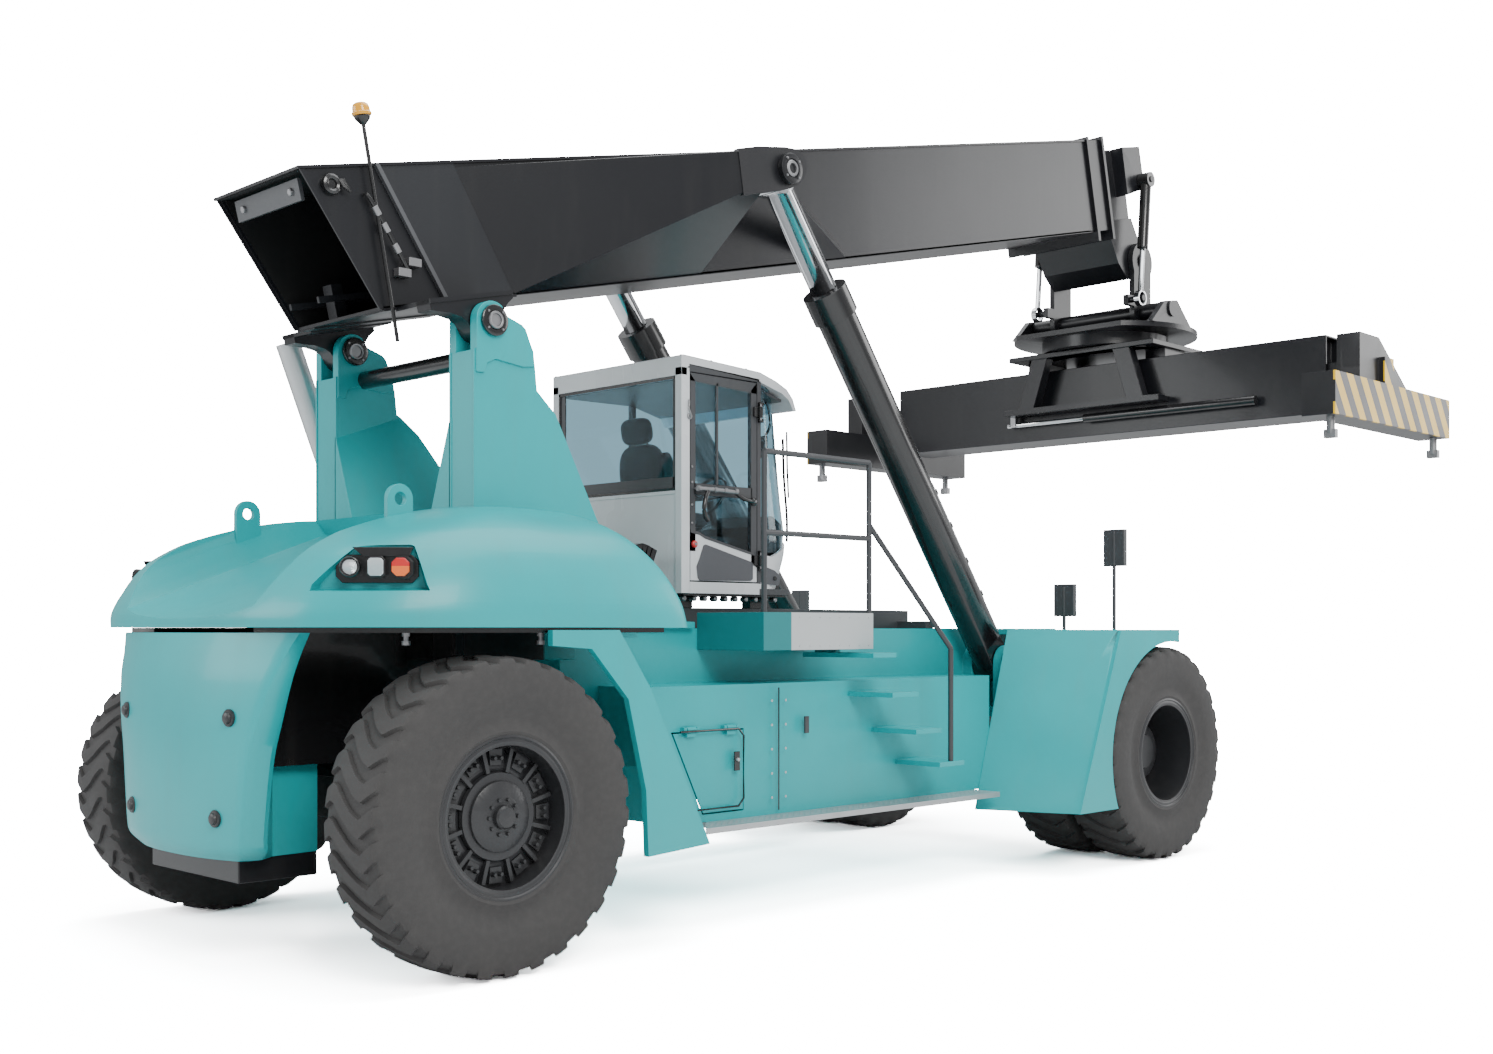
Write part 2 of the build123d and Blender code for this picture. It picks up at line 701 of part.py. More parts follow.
FORK_Y = KINGPIN_Y + 90
FORK_T = 30.0
REAR_HUB_IN = REAR_TYRE_Y - 60
for name, sign in (("knuckle_left", 1), ("knuckle_right", -1)):
    with BuildPart() as knuckle:
        with BuildSketch(plan.offset(HUB_H - 130 - RUN_GAP - 60)):
            with Locations((0, sign * KINGPIN_Y)):
                Circle(KINGPIN_R)
        extrude(amount=2 * (130 + RUN_GAP + 60))
        for z in (HUB_H - 130 - RUN_GAP - 60, HUB_H + 130 + RUN_GAP):
            with BuildSketch(plan.offset(z)):
                with Locations((0, sign * KINGPIN_Y)):
                    Circle(80)
                with Locations((0, sign * (KINGPIN_Y + FORK_Y + FORK_T) / 2)):
                    Rectangle(160, FORK_Y + FORK_T - KINGPIN_Y)
            extrude(amount=60)
        with BuildSketch(side.offset(-sign * (FORK_Y + FORK_T))):
            with Locations((0, HUB_H)):
                Rectangle(160, 2 * (130 + RUN_GAP + 60))
        extrude(amount=sign * FORK_T)
        with BuildSketch(side.offset(-sign * (REAR_TYRE_Y + 64))):
            with Locations((0, HUB_H)):
                Circle(SPINDLE_R)
        extrude(amount=sign * (REAR_TYRE_Y + 64 - FORK_Y))
    write(knuckle, name)

tyre_section = [
    (-200, RIM_R), (-250, 640), (-240, 800), (-205, TYRE_D / 2), (205, TYRE_D / 2), (240, 800),
    (250, 640), (200, RIM_R),
]
seat = RIM_R - SLIDE_GAP
rear_rim_section = [
    (-222, 400), (-222, 450), (-210, 450), (-210, seat), (210, seat), (210, 450), (222, 450),
    (222, 400), (60, 400), (60, 200), (150, 200), (170, 120), (170, 0), (70, 0),
    (70, SPINDLE_R + BEARING_GAP), (-60, SPINDLE_R + BEARING_GAP), (-60, 200), (20, 200), (20, 400),
]
inner = -DUAL_PITCH
front_rim_section = [
    (inner - 222, 400), (inner - 222, 450), (inner - 210, 450), (inner - 210, seat),
    (inner + 210, seat), (inner + 210, 450), (inner + 222, 450), (inner + 222, 420), (-222, 420),
    (-222, 450), (-210, 450), (-210, seat), (210, seat), (210, 450), (222, 450), (222, 400),
    (-290, 400), (-290, 230), (-60, 230), (-40, 140), (-40, 0), (-300, 0),
    (-300, FRONT_SPINDLE_R + BEARING_GAP), (-500, FRONT_SPINDLE_R + BEARING_GAP), (-500, 230),
    (-330, 230), (-330, 400),
]
# wheel: node stem, x of its axle, y of the outer tyre, side, tyres side by side, rim outline
wheel_table = [
    ("front_left", WHEELBASE, FRONT_TYRE_Y, 1, 2, front_rim_section),
    ("front_right", WHEELBASE, FRONT_TYRE_Y, -1, 2, front_rim_section),
    ("rear_left", 0, REAR_TYRE_Y, 1, 1, rear_rim_section),
    ("rear_right", 0, REAR_TYRE_Y, -1, 1, rear_rim_section),
]
for stem, x, y, sign, tyres, rim_section in wheel_table:
    wheel_axis = Axis(place(x, 0, HUB_H), (0, 1, 0))
    with BuildPart() as tyre:
        for index in range(tyres):
            section_plane = Plane(
                origin=place(x, sign * (y - index * DUAL_PITCH), HUB_H), x_dir=(0, sign, 0), z_dir=(sign, 0, 0)
            )
            with BuildSketch(section_plane):
                with BuildLine():
                    Polyline(*tyre_section, close=True)
                make_face()
            revolve(axis=wheel_axis)
    write(tyre, f"{stem}_tyre")
    with BuildPart() as rim:
        section_plane = Plane(origin=place(x, sign * y, HUB_H), x_dir=(0, sign, 0), z_dir=(sign, 0, 0))
        with BuildSketch(section_plane):
            with BuildLine():
                Polyline(*rim_section, close=True)
            make_face()
        revolve(axis=wheel_axis)
    write(rim, f"{stem}_rim")

# ======================================================= boom
eye_u, eye_v = in_boom(LIFT_EYE_X, LIFT_EYE_Z)
boom_outline = [
    (-848, BOOM_TOP_V), (-493, BOOM_FOOT_V), (BOOM_END_U, BOOM_FOOT_V), (BOOM_END_U, BOOM_TOP_V),
]
EAR_MID_Y = (TOWER_IN_Y + TOWER_OUT_Y) / 2
bracket_t = TOWER_OUT_Y - TOWER_IN_Y - 2 * TOWER_EAR - 2 * RUN_GAP
LUG_PLATE = 45.0
wing_in = LIFT_Y - LIFT_EYE_W / 2 - 20
wing_out = LIFT_Y + LIFT_EYE_W / 2 + 20
PIN_COVER_R = 110.0
# legs of each wing, along the boom from the eye: top rear, top front, foot rear, foot front
wing_top = 150.0
leg_foot = BOOM_FOOT_V - eye_v
LEG_T = 35.0
with BuildPart() as outer_boom:
    with BuildSketch(boom_plane.offset(-BOOM_Y)):
        with BuildLine():
            Polyline(*boom_outline, close=True)
        make_face()
    extrude(amount=2 * BOOM_Y)
    with BuildSketch(boom_plane.offset(-BOOM_Y + BOOM_WALL)):
        with BuildLine():
            Polyline(
                (-1000, BOOM_TOP_V - BOOM_WALL), (-1000, BOOM_FOOT_V + BOOM_WALL),
                (BOOM_END_U, BOOM_FOOT_V + BOOM_WALL), (BOOM_END_U, BOOM_TOP_V - BOOM_WALL), close=True,
            )
        make_face()
    extrude(amount=2 * (BOOM_Y - BOOM_WALL), mode=Mode.SUBTRACT)
    # front collar: two flanges round the inner boom
    for u in (BOOM_END_U, BOOM_END_U + FLANGE_GAP):
        with BuildSketch(boom_plane.offset(-BOOM_Y - 30)):
            with Locations((u - 20, (BOOM_TOP_V + 80) / 2)):
                Rectangle(40, BOOM_TOP_V - 80 + 60)
        extrude(amount=2 * (BOOM_Y + 30))
    with BuildSketch(boom_plane.offset(-BOOM_Y)):
        with Locations((BOOM_END_U + FLANGE_GAP / 2 - 20, (BOOM_TOP_V + BOOM_FOOT_V) / 2)):
            Rectangle(FLANGE_GAP, BOOM_TOP_V - BOOM_FOOT_V)
    extrude(amount=2 * BOOM_Y)
    with BuildSketch(boom_plane.offset(-BOOM_Y + BOOM_WALL)):
        with Locations((BOOM_END_U + FLANGE_GAP / 2, (BOOM_TOP_V + BOOM_FOOT_V) / 2)):
            Rectangle(FLANGE_GAP + 200, BOOM_TOP_V - BOOM_FOOT_V - 2 * BOOM_WALL)
    extrude(amount=2 * (BOOM_Y - BOOM_WALL), mode=Mode.SUBTRACT)
    # brackets that reach down to the pivot, with their pins
    with BuildSketch(boom_plane.offset(-EAR_MID_Y - bracket_t / 2)):
        with BuildLine():
            Polyline(
                (-380, BOOM_FOOT_V + 60), (520, BOOM_FOOT_V + 60), (560, BOOM_FOOT_V), (-420, BOOM_FOOT_V),
                close=True,
            )
        make_face()
    extrude(amount=EAR_MID_Y + bracket_t / 2 - BOOM_Y + 5)
    with BuildSketch(boom_plane.offset(-EAR_MID_Y - bracket_t / 2)):
        with BuildLine():
            Polyline((-380, BOOM_FOOT_V + 30), (520, BOOM_FOOT_V + 30), (120, -60), (-120, -60), close=True)
        make_face()
        Circle(EAR_R - 2)
    extrude(amount=bracket_t)
    with BuildSketch(boom_plane.offset(-TOWER_OUT_Y - 20)):
        Circle(PIVOT_PIN_R)
    extrude(amount=TOWER_OUT_Y + 20 - TOWER_IN_Y)
    # wings that take the heads of the lift cylinders
    for y_out in (wing_in, wing_out + LUG_PLATE):
        with BuildSketch(boom_plane.offset(-y_out)):
            with BuildLine():
                Polyline(
                    (eye_u - 190, eye_v + wing_top), (eye_u + 120, eye_v + wing_top),
                    (eye_u + 210, eye_v + 20), (eye_u + 60, eye_v - 110), (eye_u - 100, eye_v - 60),
                    (eye_u - 280, eye_v + 20), close=True,
                )
            make_face()
        extrude(amount=LUG_PLATE)
    with BuildSketch(boom_plane.offset(-wing_in)):
        with Locations((eye_u - 60, eye_v + 60)):
            Rectangle(240, 160)
    extrude(amount=wing_in - BOOM_Y + 5)
    with BuildSketch(boom_plane.offset(-wing_out - LUG_PLATE - 30)):
        with Locations((eye_u, eye_v)):
            Circle(PIN_COVER_R)
    extrude(amount=30)
    # rear and front legs: from the outer plate's edge down to the boom's lower edge
    for u_top, u_foot, y_top in ((-250, -880, wing_out + LUG_PLATE), (120, 640, wing_in)):
        for y, u, v in ((y_top, u_top, wing_top - LEG_T), (BOOM_Y - 10, u_foot, leg_foot)):
            with BuildSketch(boom_plane.offset(-y)):
                with Locations((eye_u + u, eye_v + v)):
                    Rectangle(60, 2 * LEG_T)
        loft(ruled=True)
    mirror(about=Plane.XZ)
write(outer_boom, "outer_boom")

INNER_REAR_U = 350.0
inner_y = BOOM_Y - BOOM_WALL - PAD_GAP
inner_foot = BOOM_FOOT_V + BOOM_WALL + PAD_GAP
inner_top = BOOM_TOP_V - BOOM_WALL - PAD_GAP
nose_u, nose_v = in_boom(NOSE_X, NOSE_Z)
damper_u, damper_v = in_boom(DAMPER_TOP_X, DAMPER_TOP_Z)
NOSE_BLOCK_L = 620.0
DAMPER_PIN_R = 30.0
with BuildPart() as inner_boom:
    with BuildSketch(boom_plane.offset(-inner_y)):
        with Locations(((INNER_REAR_U + INNER_END_U) / 2, (inner_foot + inner_top) / 2)):
            Rectangle(INNER_END_U - INNER_REAR_U, inner_top - inner_foot)
    extrude(amount=2 * inner_y)
    with BuildSketch(boom_plane.offset(-inner_y + BOOM_WALL)):
        with Locations(((INNER_REAR_U + INNER_END_U) / 2 - 40, (inner_foot + inner_top) / 2)):
            Rectangle(INNER_END_U - INNER_REAR_U, inner_top - inner_foot - 2 * BOOM_WALL)
    extrude(amount=2 * (inner_y - BOOM_WALL), mode=Mode.SUBTRACT)
    # slide pads at the tail, top and bottom
    for v in (inner_top + (PAD_GAP - SLIDE_GAP) / 2, inner_foot - (PAD_GAP - SLIDE_GAP) / 2):
        with BuildSketch(boom_plane.offset(-inner_y + 60)):
            with Locations((INNER_REAR_U + 200, v)):
                Rectangle(300, PAD_GAP - SLIDE_GAP)
        extrude(amount=2 * (inner_y - 60))
    # nose: a box that drops from the boom's end to the head's pin
    with BuildSketch(boom_plane.offset(-NOSE_Y)):
        with BuildLine():
            Polyline(
                (INNER_END_U - 500, inner_foot + 10), (INNER_END_U, inner_foot + 10),
                (nose_u + 150, nose_v + 60), (nose_u + 60, nose_v - 150), (nose_u - 220, nose_v - 150),
                (nose_u - 360, nose_v + 20), close=True,
            )
        make_face()
    extrude(amount=2 * NOSE_Y)
    with BuildSketch(boom_plane.offset(-NOSE_Y)):
        with Locations((nose_u, nose_v)):
            Circle(NOSE_PIN_R + BEARING_GAP)
    extrude(amount=2 * NOSE_Y, mode=Mode.SUBTRACT)
    # pins for the damper cylinders, on short arms beside the end of the boom
    for sign in (1, -1):
        with BuildSketch(boom_plane.offset(-sign * (DAMPER_Y + DAMPER_R + 15))):
            with Locations((damper_u, damper_v)):
                Circle(DAMPER_PIN_R)
        extrude(amount=sign * (DAMPER_Y + DAMPER_R + 15 - inner_y + 5))
        with BuildSketch(boom_plane.offset(-sign * (DAMPER_Y - DAMPER_R - 8))):
            with BuildLine():
                Polyline(
                    (INNER_END_U - 200, inner_top), (damper_u + 60, inner_top), (damper_u + 70, damper_v - 70),
                    (INNER_END_U - 200, damper_v - 120), close=True,
                )
            make_face()
        extrude(amount=sign * (DAMPER_Y - DAMPER_R - 8 - inner_y + 5))
write(inner_boom, "inner_boom")

pole_foot = place(100, -BOOM_Y - 45, 4100)
pole_run = place(-180, -BOOM_Y - 45, 5170) - pole_foot
with BuildPart() as beacon:
    for share in (0.14, 0.47):
        at = pole_foot + pole_run * share
        with BuildSketch(boom_plane.offset(BOOM_Y + 45)):
            with Locations(in_boom(at.X - REAR_X, at.Z)):
                Rectangle(60, 40)
        extrude(amount=-45)
    with BuildSketch(Plane(origin=pole_foot, z_dir=pole_run)):
        Circle(15)
    extrude(amount=pole_run.length)
    with BuildSketch(Plane(origin=pole_foot + pole_run, z_dir=pole_run)):
        Circle(75)
    extrude(amount=160)
write(beacon, "beacon")

# ======================================================= lift cylinders
lift_base = Vector(LIFT_BASE_X, 0, LIFT_BASE_Z)
lift_eye = Vector(LIFT_EYE_X, 0, LIFT_EYE_Z)
lift_dir = (lift_eye - lift_base).normalized()
LIFT_BORE_R = LIFT_ROD_R + SLIDE_GAP
for suffix, sign in (("left", 1), ("right", -1)):
    base = place(LIFT_BASE_X, sign * LIFT_Y, LIFT_BASE_Z)
    eye = place(LIFT_EYE_X, sign * LIFT_Y, LIFT_EYE_Z)
    with BuildPart() as lift_barrel:
        with BuildSketch(Plane(origin=base, z_dir=lift_dir)):
            Circle(LIFT_BARREL_R)
        extrude(amount=LIFT_BARREL_L)
        with BuildSketch(Plane(origin=base + lift_dir * (LIFT_BARREL_L - 220), z_dir=lift_dir)):
            Circle(LIFT_BARREL_R + 22)
        extrude(amount=220)
        with BuildSketch(side.offset(-sign * LIFT_Y - LIFT_EYE_W / 2)):
            with Locations((LIFT_BASE_X, LIFT_BASE_Z)):
                Circle(LIFT_EYE_R)
        extrude(amount=LIFT_EYE_W)
        # trim the foot so that it fits between the lugs
        with BuildSketch(side.offset(-sign * LIFT_Y - 300)):
            with Locations((LIFT_BASE_X, LIFT_BASE_Z)):
                Circle(250)
        extrude(amount=300 - LIFT_EYE_W / 2, mode=Mode.SUBTRACT)
        with BuildSketch(side.offset(-sign * LIFT_Y + LIFT_EYE_W / 2)):
            with Locations((LIFT_BASE_X, LIFT_BASE_Z)):
                Circle(250)
        extrude(amount=300 - LIFT_EYE_W / 2, mode=Mode.SUBTRACT)
        with BuildSketch(Plane(origin=base + lift_dir * 260, z_dir=lift_dir)):
            Circle(LIFT_BORE_R)
        extrude(amount=LIFT_BARREL_L, mode=Mode.SUBTRACT)
        with BuildSketch(side.offset(-sign * LIFT_Y - LIFT_EYE_W / 2 - RUN_GAP - LIFT_LUG_T)):
            with Locations((LIFT_BASE_X, LIFT_BASE_Z)):
                Circle(LIFT_PIN_R - BEARING_GAP)
        extrude(amount=LIFT_EYE_W + 2 * RUN_GAP + 2 * LIFT_LUG_T)
    write(lift_barrel, f"lift_barrel_{suffix}")
    with BuildPart() as lift_rod:
        with BuildSketch(Plane(origin=eye, z_dir=lift_dir * -1)):
            Circle(LIFT_ROD_R)
        extrude(amount=LIFT_ROD_L)
        with BuildSketch(side.offset(-sign * LIFT_Y - LIFT_EYE_W / 2)):
            with Locations((LIFT_EYE_X, LIFT_EYE_Z)):
                Circle(LIFT_EYE_R)
        extrude(amount=LIFT_EYE_W)
    write(lift_rod, f"lift_rod_{suffix}")

# ======================================================= spreader head
LUG_IN = NOSE_Y + RUN_GAP
with BuildPart() as tilt_head:
    for sign in (1, -1):
        with BuildSketch(side.offset(-sign * (LUG_IN + LUG_T))):
            with Locations((NOSE_X, NOSE_Z)):
                Circle(LUG_R)
            with Locations((NOSE_X, (NOSE_Z + TRUNNION_Z) / 2)):
                Rectangle(2 * LUG_R - 60, NOSE_Z - TRUNNION_Z)
            with Locations((NOSE_X, TRUNNION_Z)):
                Circle(LUG_R - 30)
        extrude(amount=sign * LUG_T)
        with BuildSketch(side.offset(-sign * TRUNNION_Y)):
            with BuildLine():
                Polyline(
                    (NOSE_X - 130, TRUNNION_Z + 60), (NOSE_X + 110, TRUNNION_Z + 100),
                    (NOSE_X + 420, HEAD_PLATE_Z + PLATE_T), (NOSE_X - 380, HEAD_PLATE_Z + PLATE_T), close=True,
                )
            make_face()
        extrude(amount=sign * 60)
        # feet of the dampers
        with BuildSketch(side.offset(-sign * (DAMPER_Y + DAMPER_ROD_R + 12))):
            with Locations((DAMPER_FOOT_X, DAMPER_FOOT_Z)):
                Circle(DAMPER_PIN_R)
        extrude(amount=sign * (DAMPER_Y + DAMPER_ROD_R + 12 - LUG_IN - 5))
        with BuildSketch(side.offset(-sign * (LUG_IN + LUG_T))):
            with Locations((DAMPER_FOOT_X + 60, DAMPER_FOOT_Z)):
                Rectangle(220, 100)
        extrude(amount=sign * LUG_T)
    with BuildSketch(side.offset(-LUG_IN - LUG_T - 15)):
        with Locations((NOSE_X, NOSE_Z)):
            Circle(NOSE_PIN_R)
    extrude(amount=2 * (LUG_IN + LUG_T + 15))
    with BuildSketch(side.offset(-TRUNNION_Y - 20)):
        with Locations((NOSE_X, TRUNNION_Z)):
            Circle(NOSE_PIN_R)
    extrude(amount=2 * (TRUNNION_Y + 20))
    with BuildSketch(plan.offset(HEAD_PLATE_Z)):
        with Locations((SPREADER_X, 0)):
            Circle(DISC_R + 230)
        # cut straight at the rear, so that it clears the boom's collar
        with Locations((NOSE_X - 600 - 500, 0)):
            Rectangle(1000, 2 * DISC_R + 500, mode=Mode.SUBTRACT)
    extrude(amount=PLATE_T)
    with BuildSketch(plan.offset(FRAME_PLATE_Z + PLATE_T + RUN_GAP)):
        with Locations((SPREADER_X, 0)):
            Circle(DISC_R - 60)
            Circle(SPIGOT_R + BEARING_GAP, mode=Mode.SUBTRACT)
    extrude(amount=HEAD_PLATE_Z - FRAME_PLATE_Z - PLATE_T - RUN_GAP)
write(tilt_head, "tilt_head")

damper_top = place(DAMPER_TOP_X, 0, DAMPER_TOP_Z)
damper_foot = place(DAMPER_FOOT_X, 0, DAMPER_FOOT_Z)
damper_dir = (damper_foot - damper_top).normalized()
for suffix, sign in (("left", 1), ("right", -1)):
    shift = Vector(0, sign * DAMPER_Y, 0)
    with BuildPart() as damper_barrel:
        with BuildSketch(Plane(origin=damper_top + shift, z_dir=damper_dir)):
            Circle(DAMPER_R)
        extrude(amount=DAMPER_BARREL_L)
        with BuildSketch(side.offset(-sign * DAMPER_Y - DAMPER_R - 4)):
            with Locations((DAMPER_TOP_X, DAMPER_TOP_Z)):
                Circle(DAMPER_R + 20)
        extrude(amount=2 * DAMPER_R + 8)
        with BuildSketch(side.offset(-sign * DAMPER_Y - DAMPER_R - 4)):
            with Locations((DAMPER_TOP_X, DAMPER_TOP_Z)):
                Circle(DAMPER_PIN_R + BEARING_GAP)
        extrude(amount=2 * DAMPER_R + 8, mode=Mode.SUBTRACT)
        with BuildSketch(Plane(origin=damper_top + shift + damper_dir * 90, z_dir=damper_dir)):
            Circle(DAMPER_ROD_R + SLIDE_GAP)
        extrude(amount=DAMPER_BARREL_L, mode=Mode.SUBTRACT)
    write(damper_barrel, f"damper_barrel_{suffix}")
    with BuildPart() as damper_rod:
        with BuildSketch(Plane(origin=damper_foot + shift, z_dir=damper_dir * -1)):
            Circle(DAMPER_ROD_R)
        extrude(amount=DAMPER_ROD_L)
        with BuildSketch(side.offset(-sign * DAMPER_Y - DAMPER_ROD_R)):
            with Locations((DAMPER_FOOT_X, DAMPER_FOOT_Z)):
                Circle(DAMPER_PIN_R + 48)
        extrude(amount=2 * DAMPER_ROD_R)
        with BuildSketch(side.offset(-sign * DAMPER_Y - DAMPER_ROD_R)):
            with Locations((DAMPER_FOOT_X, DAMPER_FOOT_Z)):
                Circle(DAMPER_PIN_R + 32)
        extrude(amount=2 * DAMPER_ROD_R, mode=Mode.SUBTRACT)
    write(damper_rod, f"damper_rod_{suffix}")

# frame that turns under the head and carries the main beam
FRAME_HALF_X = 500.0
FRAME_HALF_Y = 850.0
LEG_W = 190.0
RAIL_Z = 4250.0
RAIL_H = 60.0
PAD_H = FRAME_PLATE_Z - BEAM_TOP - SLIDE_GAP
rail_x = BEAM_HALF_X + 150
with BuildPart() as side_shift_frame:
    with BuildSketch(plan.offset(FRAME_PLATE_Z)):
        with Locations((SPREADER_X, 0)):
            Rectangle(2 * FRAME_HALF_X, 2 * FRAME_HALF_Y)
    extrude(amount=PLATE_T)
    with BuildSketch(plan.offset(FRAME_PLATE_Z)):
        with Locations((SPREADER_X, 0)):
            Circle(SPIGOT_R)
    extrude(amount=HEAD_PLATE_Z - FRAME_PLATE_Z - 5)
    for side_x in (1, -1):
        for side_y in (1, -1):
            for level, y, x in (
                (FRAME_PLATE_Z, side_y * 480, SPREADER_X + side_x * (FRAME_HALF_X - 70)),
                (RAIL_Z, side_y * 640, SPREADER_X + side_x * (rail_x + 10)),
            ):
                with BuildSketch(plan.offset(level)):
                    with Locations((x, y)):
                        Rectangle(120, LEG_W)
            loft(ruled=True)
        with BuildSketch(plan.offset(RAIL_Z - RAIL_H)):
            with Locations((SPREADER_X + side_x * (rail_x + 5), 0)):
                Rectangle(130, 2 * 910)
        extrude(amount=RAIL_H)
        # pads that slide along the beam's faces
        with BuildSketch(plan.offset(RAIL_Z - RAIL_H)):
            for y in (-800, 800):
                with Locations((SPREADER_X + side_x * (BEAM_HALF_X + SLIDE_GAP + 45), y)):
                    Rectangle(90, 180)
        extrude(amount=RAIL_H)
    with BuildSketch(plan.offset(BEAM_TOP + SLIDE_GAP)):
        for y in (-700, 700):
            with Locations((SPREADER_X, y)):
                Rectangle(400, 220)
    extrude(amount=PAD_H)
write(side_shift_frame, "side_shift_frame")

arm_z = (BEAM_TOP + BEAM_FOOT) / 2 - 60
arm_x = BEAM_HALF_X / 2
with BuildPart() as spreader_beam:
    with BuildSketch(plan.offset(BEAM_FOOT)):
        with Locations((SPREADER_X, 0)):
            Rectangle(2 * BEAM_HALF_X, 2 * BEAM_Y)
    extrude(amount=BEAM_TOP - BEAM_FOOT)
    for side_x in (1, -1):
        with BuildSketch(side.offset(-BEAM_Y)):
            with Locations((SPREADER_X + side_x * (BEAM_HALF_X / 2 - 5), (BEAM_TOP + BEAM_FOOT) / 2)):
                Rectangle(BEAM_HALF_X - 30, BEAM_TOP - BEAM_FOOT - 2 * BEAM_WALL)
        extrude(amount=2 * BEAM_Y, mode=Mode.SUBTRACT)
    # shelves that guide the telescoping arms
    for side_x in (1, -1):
        for y in (BEAM_Y - 150, -BEAM_Y + 150, 0):
            with BuildSketch(side.offset(-y - 75)):
                with Locations((SPREADER_X + side_x * (BEAM_HALF_X / 2 - 5), (BEAM_TOP + BEAM_FOOT) / 2)):
                    Rectangle(BEAM_HALF_X - 30, BEAM_TOP - BEAM_FOOT - 2 * BEAM_WALL)
                with Locations((SPREADER_X + side_x * (BEAM_HALF_X / 2 - 5), arm_z)):
                    Rectangle(ARM_X + 2 * SLIDE_GAP, ARM_Z * 2 + 2 * SLIDE_GAP, mode=Mode.SUBTRACT)
            extrude(amount=150)
write(spreader_beam, "spreader_beam")

# telescoping end beams: one arm each inside the main beam
for name, sign in (("end_beam_left", 1), ("end_beam_right", -1)):
    with BuildPart() as end_beam:
        with BuildSketch(plan.offset(END_FOOT)):
            with Locations((SPREADER_X, sign * (END_Y - END_W / 2))):
                Rectangle(END_BEAM_L, END_W)
        extrude(amount=END_TOP - END_FOOT)
        arm_centre = SPREADER_X + sign * (BEAM_HALF_X / 2 - 5)
        with BuildSketch(side.offset(-sign * (END_Y - 5))):
            with Locations((arm_centre, arm_z)):
                Rectangle(ARM_X, 2 * ARM_Z)
        extrude(amount=sign * ARM_L)
        with BuildSketch(side.offset(-sign * (END_Y - 60))):
            with BuildLine():
                Polyline(
                    (SPREADER_X - 640, END_TOP), (SPREADER_X - 640, 4570), (SPREADER_X - 230, 4570),
                    (SPREADER_X + 420, END_TOP), close=True,
                )
            make_face()
        extrude(amount=sign * (END_W - 90))
        for side_x in (1, -1):
            with BuildSketch(plan.offset(END_FOOT)):
                with Locations((SPREADER_X + side_x * LOCK_PITCH / 2, sign * LOCK_Y)):
                    Circle(LOCK_R + BEARING_GAP)
            extrude(amount=260, mode=Mode.SUBTRACT)
    write(end_beam, name)

# twist-locks, one in each corner
for name, side_x, side_y in (
    ("twistlock_rear_left", -1, 1), ("twistlock_rear_right", -1, -1),
    ("twistlock_front_left", 1, 1), ("twistlock_front_right", 1, -1),
):
    with BuildPart() as twistlock:
        at = (SPREADER_X + side_x * LOCK_PITCH / 2, side_y * LOCK_Y)
        with BuildSketch(plan.offset(LOCK_FOOT + 40)):
            with Locations(at):
                Circle(LOCK_R)
        extrude(amount=END_FOOT + 250 - LOCK_FOOT - 40)
        with BuildSketch(plan.offset(LOCK_FOOT)):
            with Locations(at):
                Rectangle(60, 104)
        extrude(amount=75)
    write(twistlock, name)

# side-shift cylinder on the beam's rear face: barrel on the beam, rod on the frame
SHIFT_X = SPREADER_X - BEAM_HALF_X - 70
SHIFT_Z = 4105.0
SHIFT_R = 45.0
SHIFT_ROD_R = 25.0
with BuildPart() as shift_barrel:
    with BuildSketch(side.offset(1850)):
        with Locations((SHIFT_X, SHIFT_Z)):
            Circle(SHIFT_R)
    extrude(amount=-1870)
    with BuildSketch(side.offset(1850)):
        with Locations((SHIFT_X, SHIFT_Z)):
            Circle(SHIFT_ROD_R + SLIDE_GAP)
    extrude(amount=-1870, mode=Mode.SUBTRACT)
    with BuildSketch(side.offset(1850)):
        with Locations((SHIFT_X, SHIFT_Z)):
            Circle(SHIFT_R)
    extrude(amount=-60)
    for y in (-1700, -1000):
        with BuildSketch(side.offset(-y)):
            with Locations((SHIFT_X + 50, SHIFT_Z)):
                Rectangle(40, 60)
        extrude(amount=60)
write(shift_barrel, "shift_barrel")
with BuildPart() as shift_rod:
    with BuildSketch(side.offset(-960)):
        with Locations((SHIFT_X, SHIFT_Z)):
            Circle(SHIFT_ROD_R)
    extrude(amount=1900)
    with BuildSketch(side.offset(-900)):
        with Locations((SHIFT_X - 20, (SHIFT_Z + RAIL_Z - RAIL_H) / 2 - 12)):
            Rectangle(60, RAIL_Z - RAIL_H - SHIFT_Z + 24)
    extrude(amount=60)
write(shift_rod, "shift_rod")

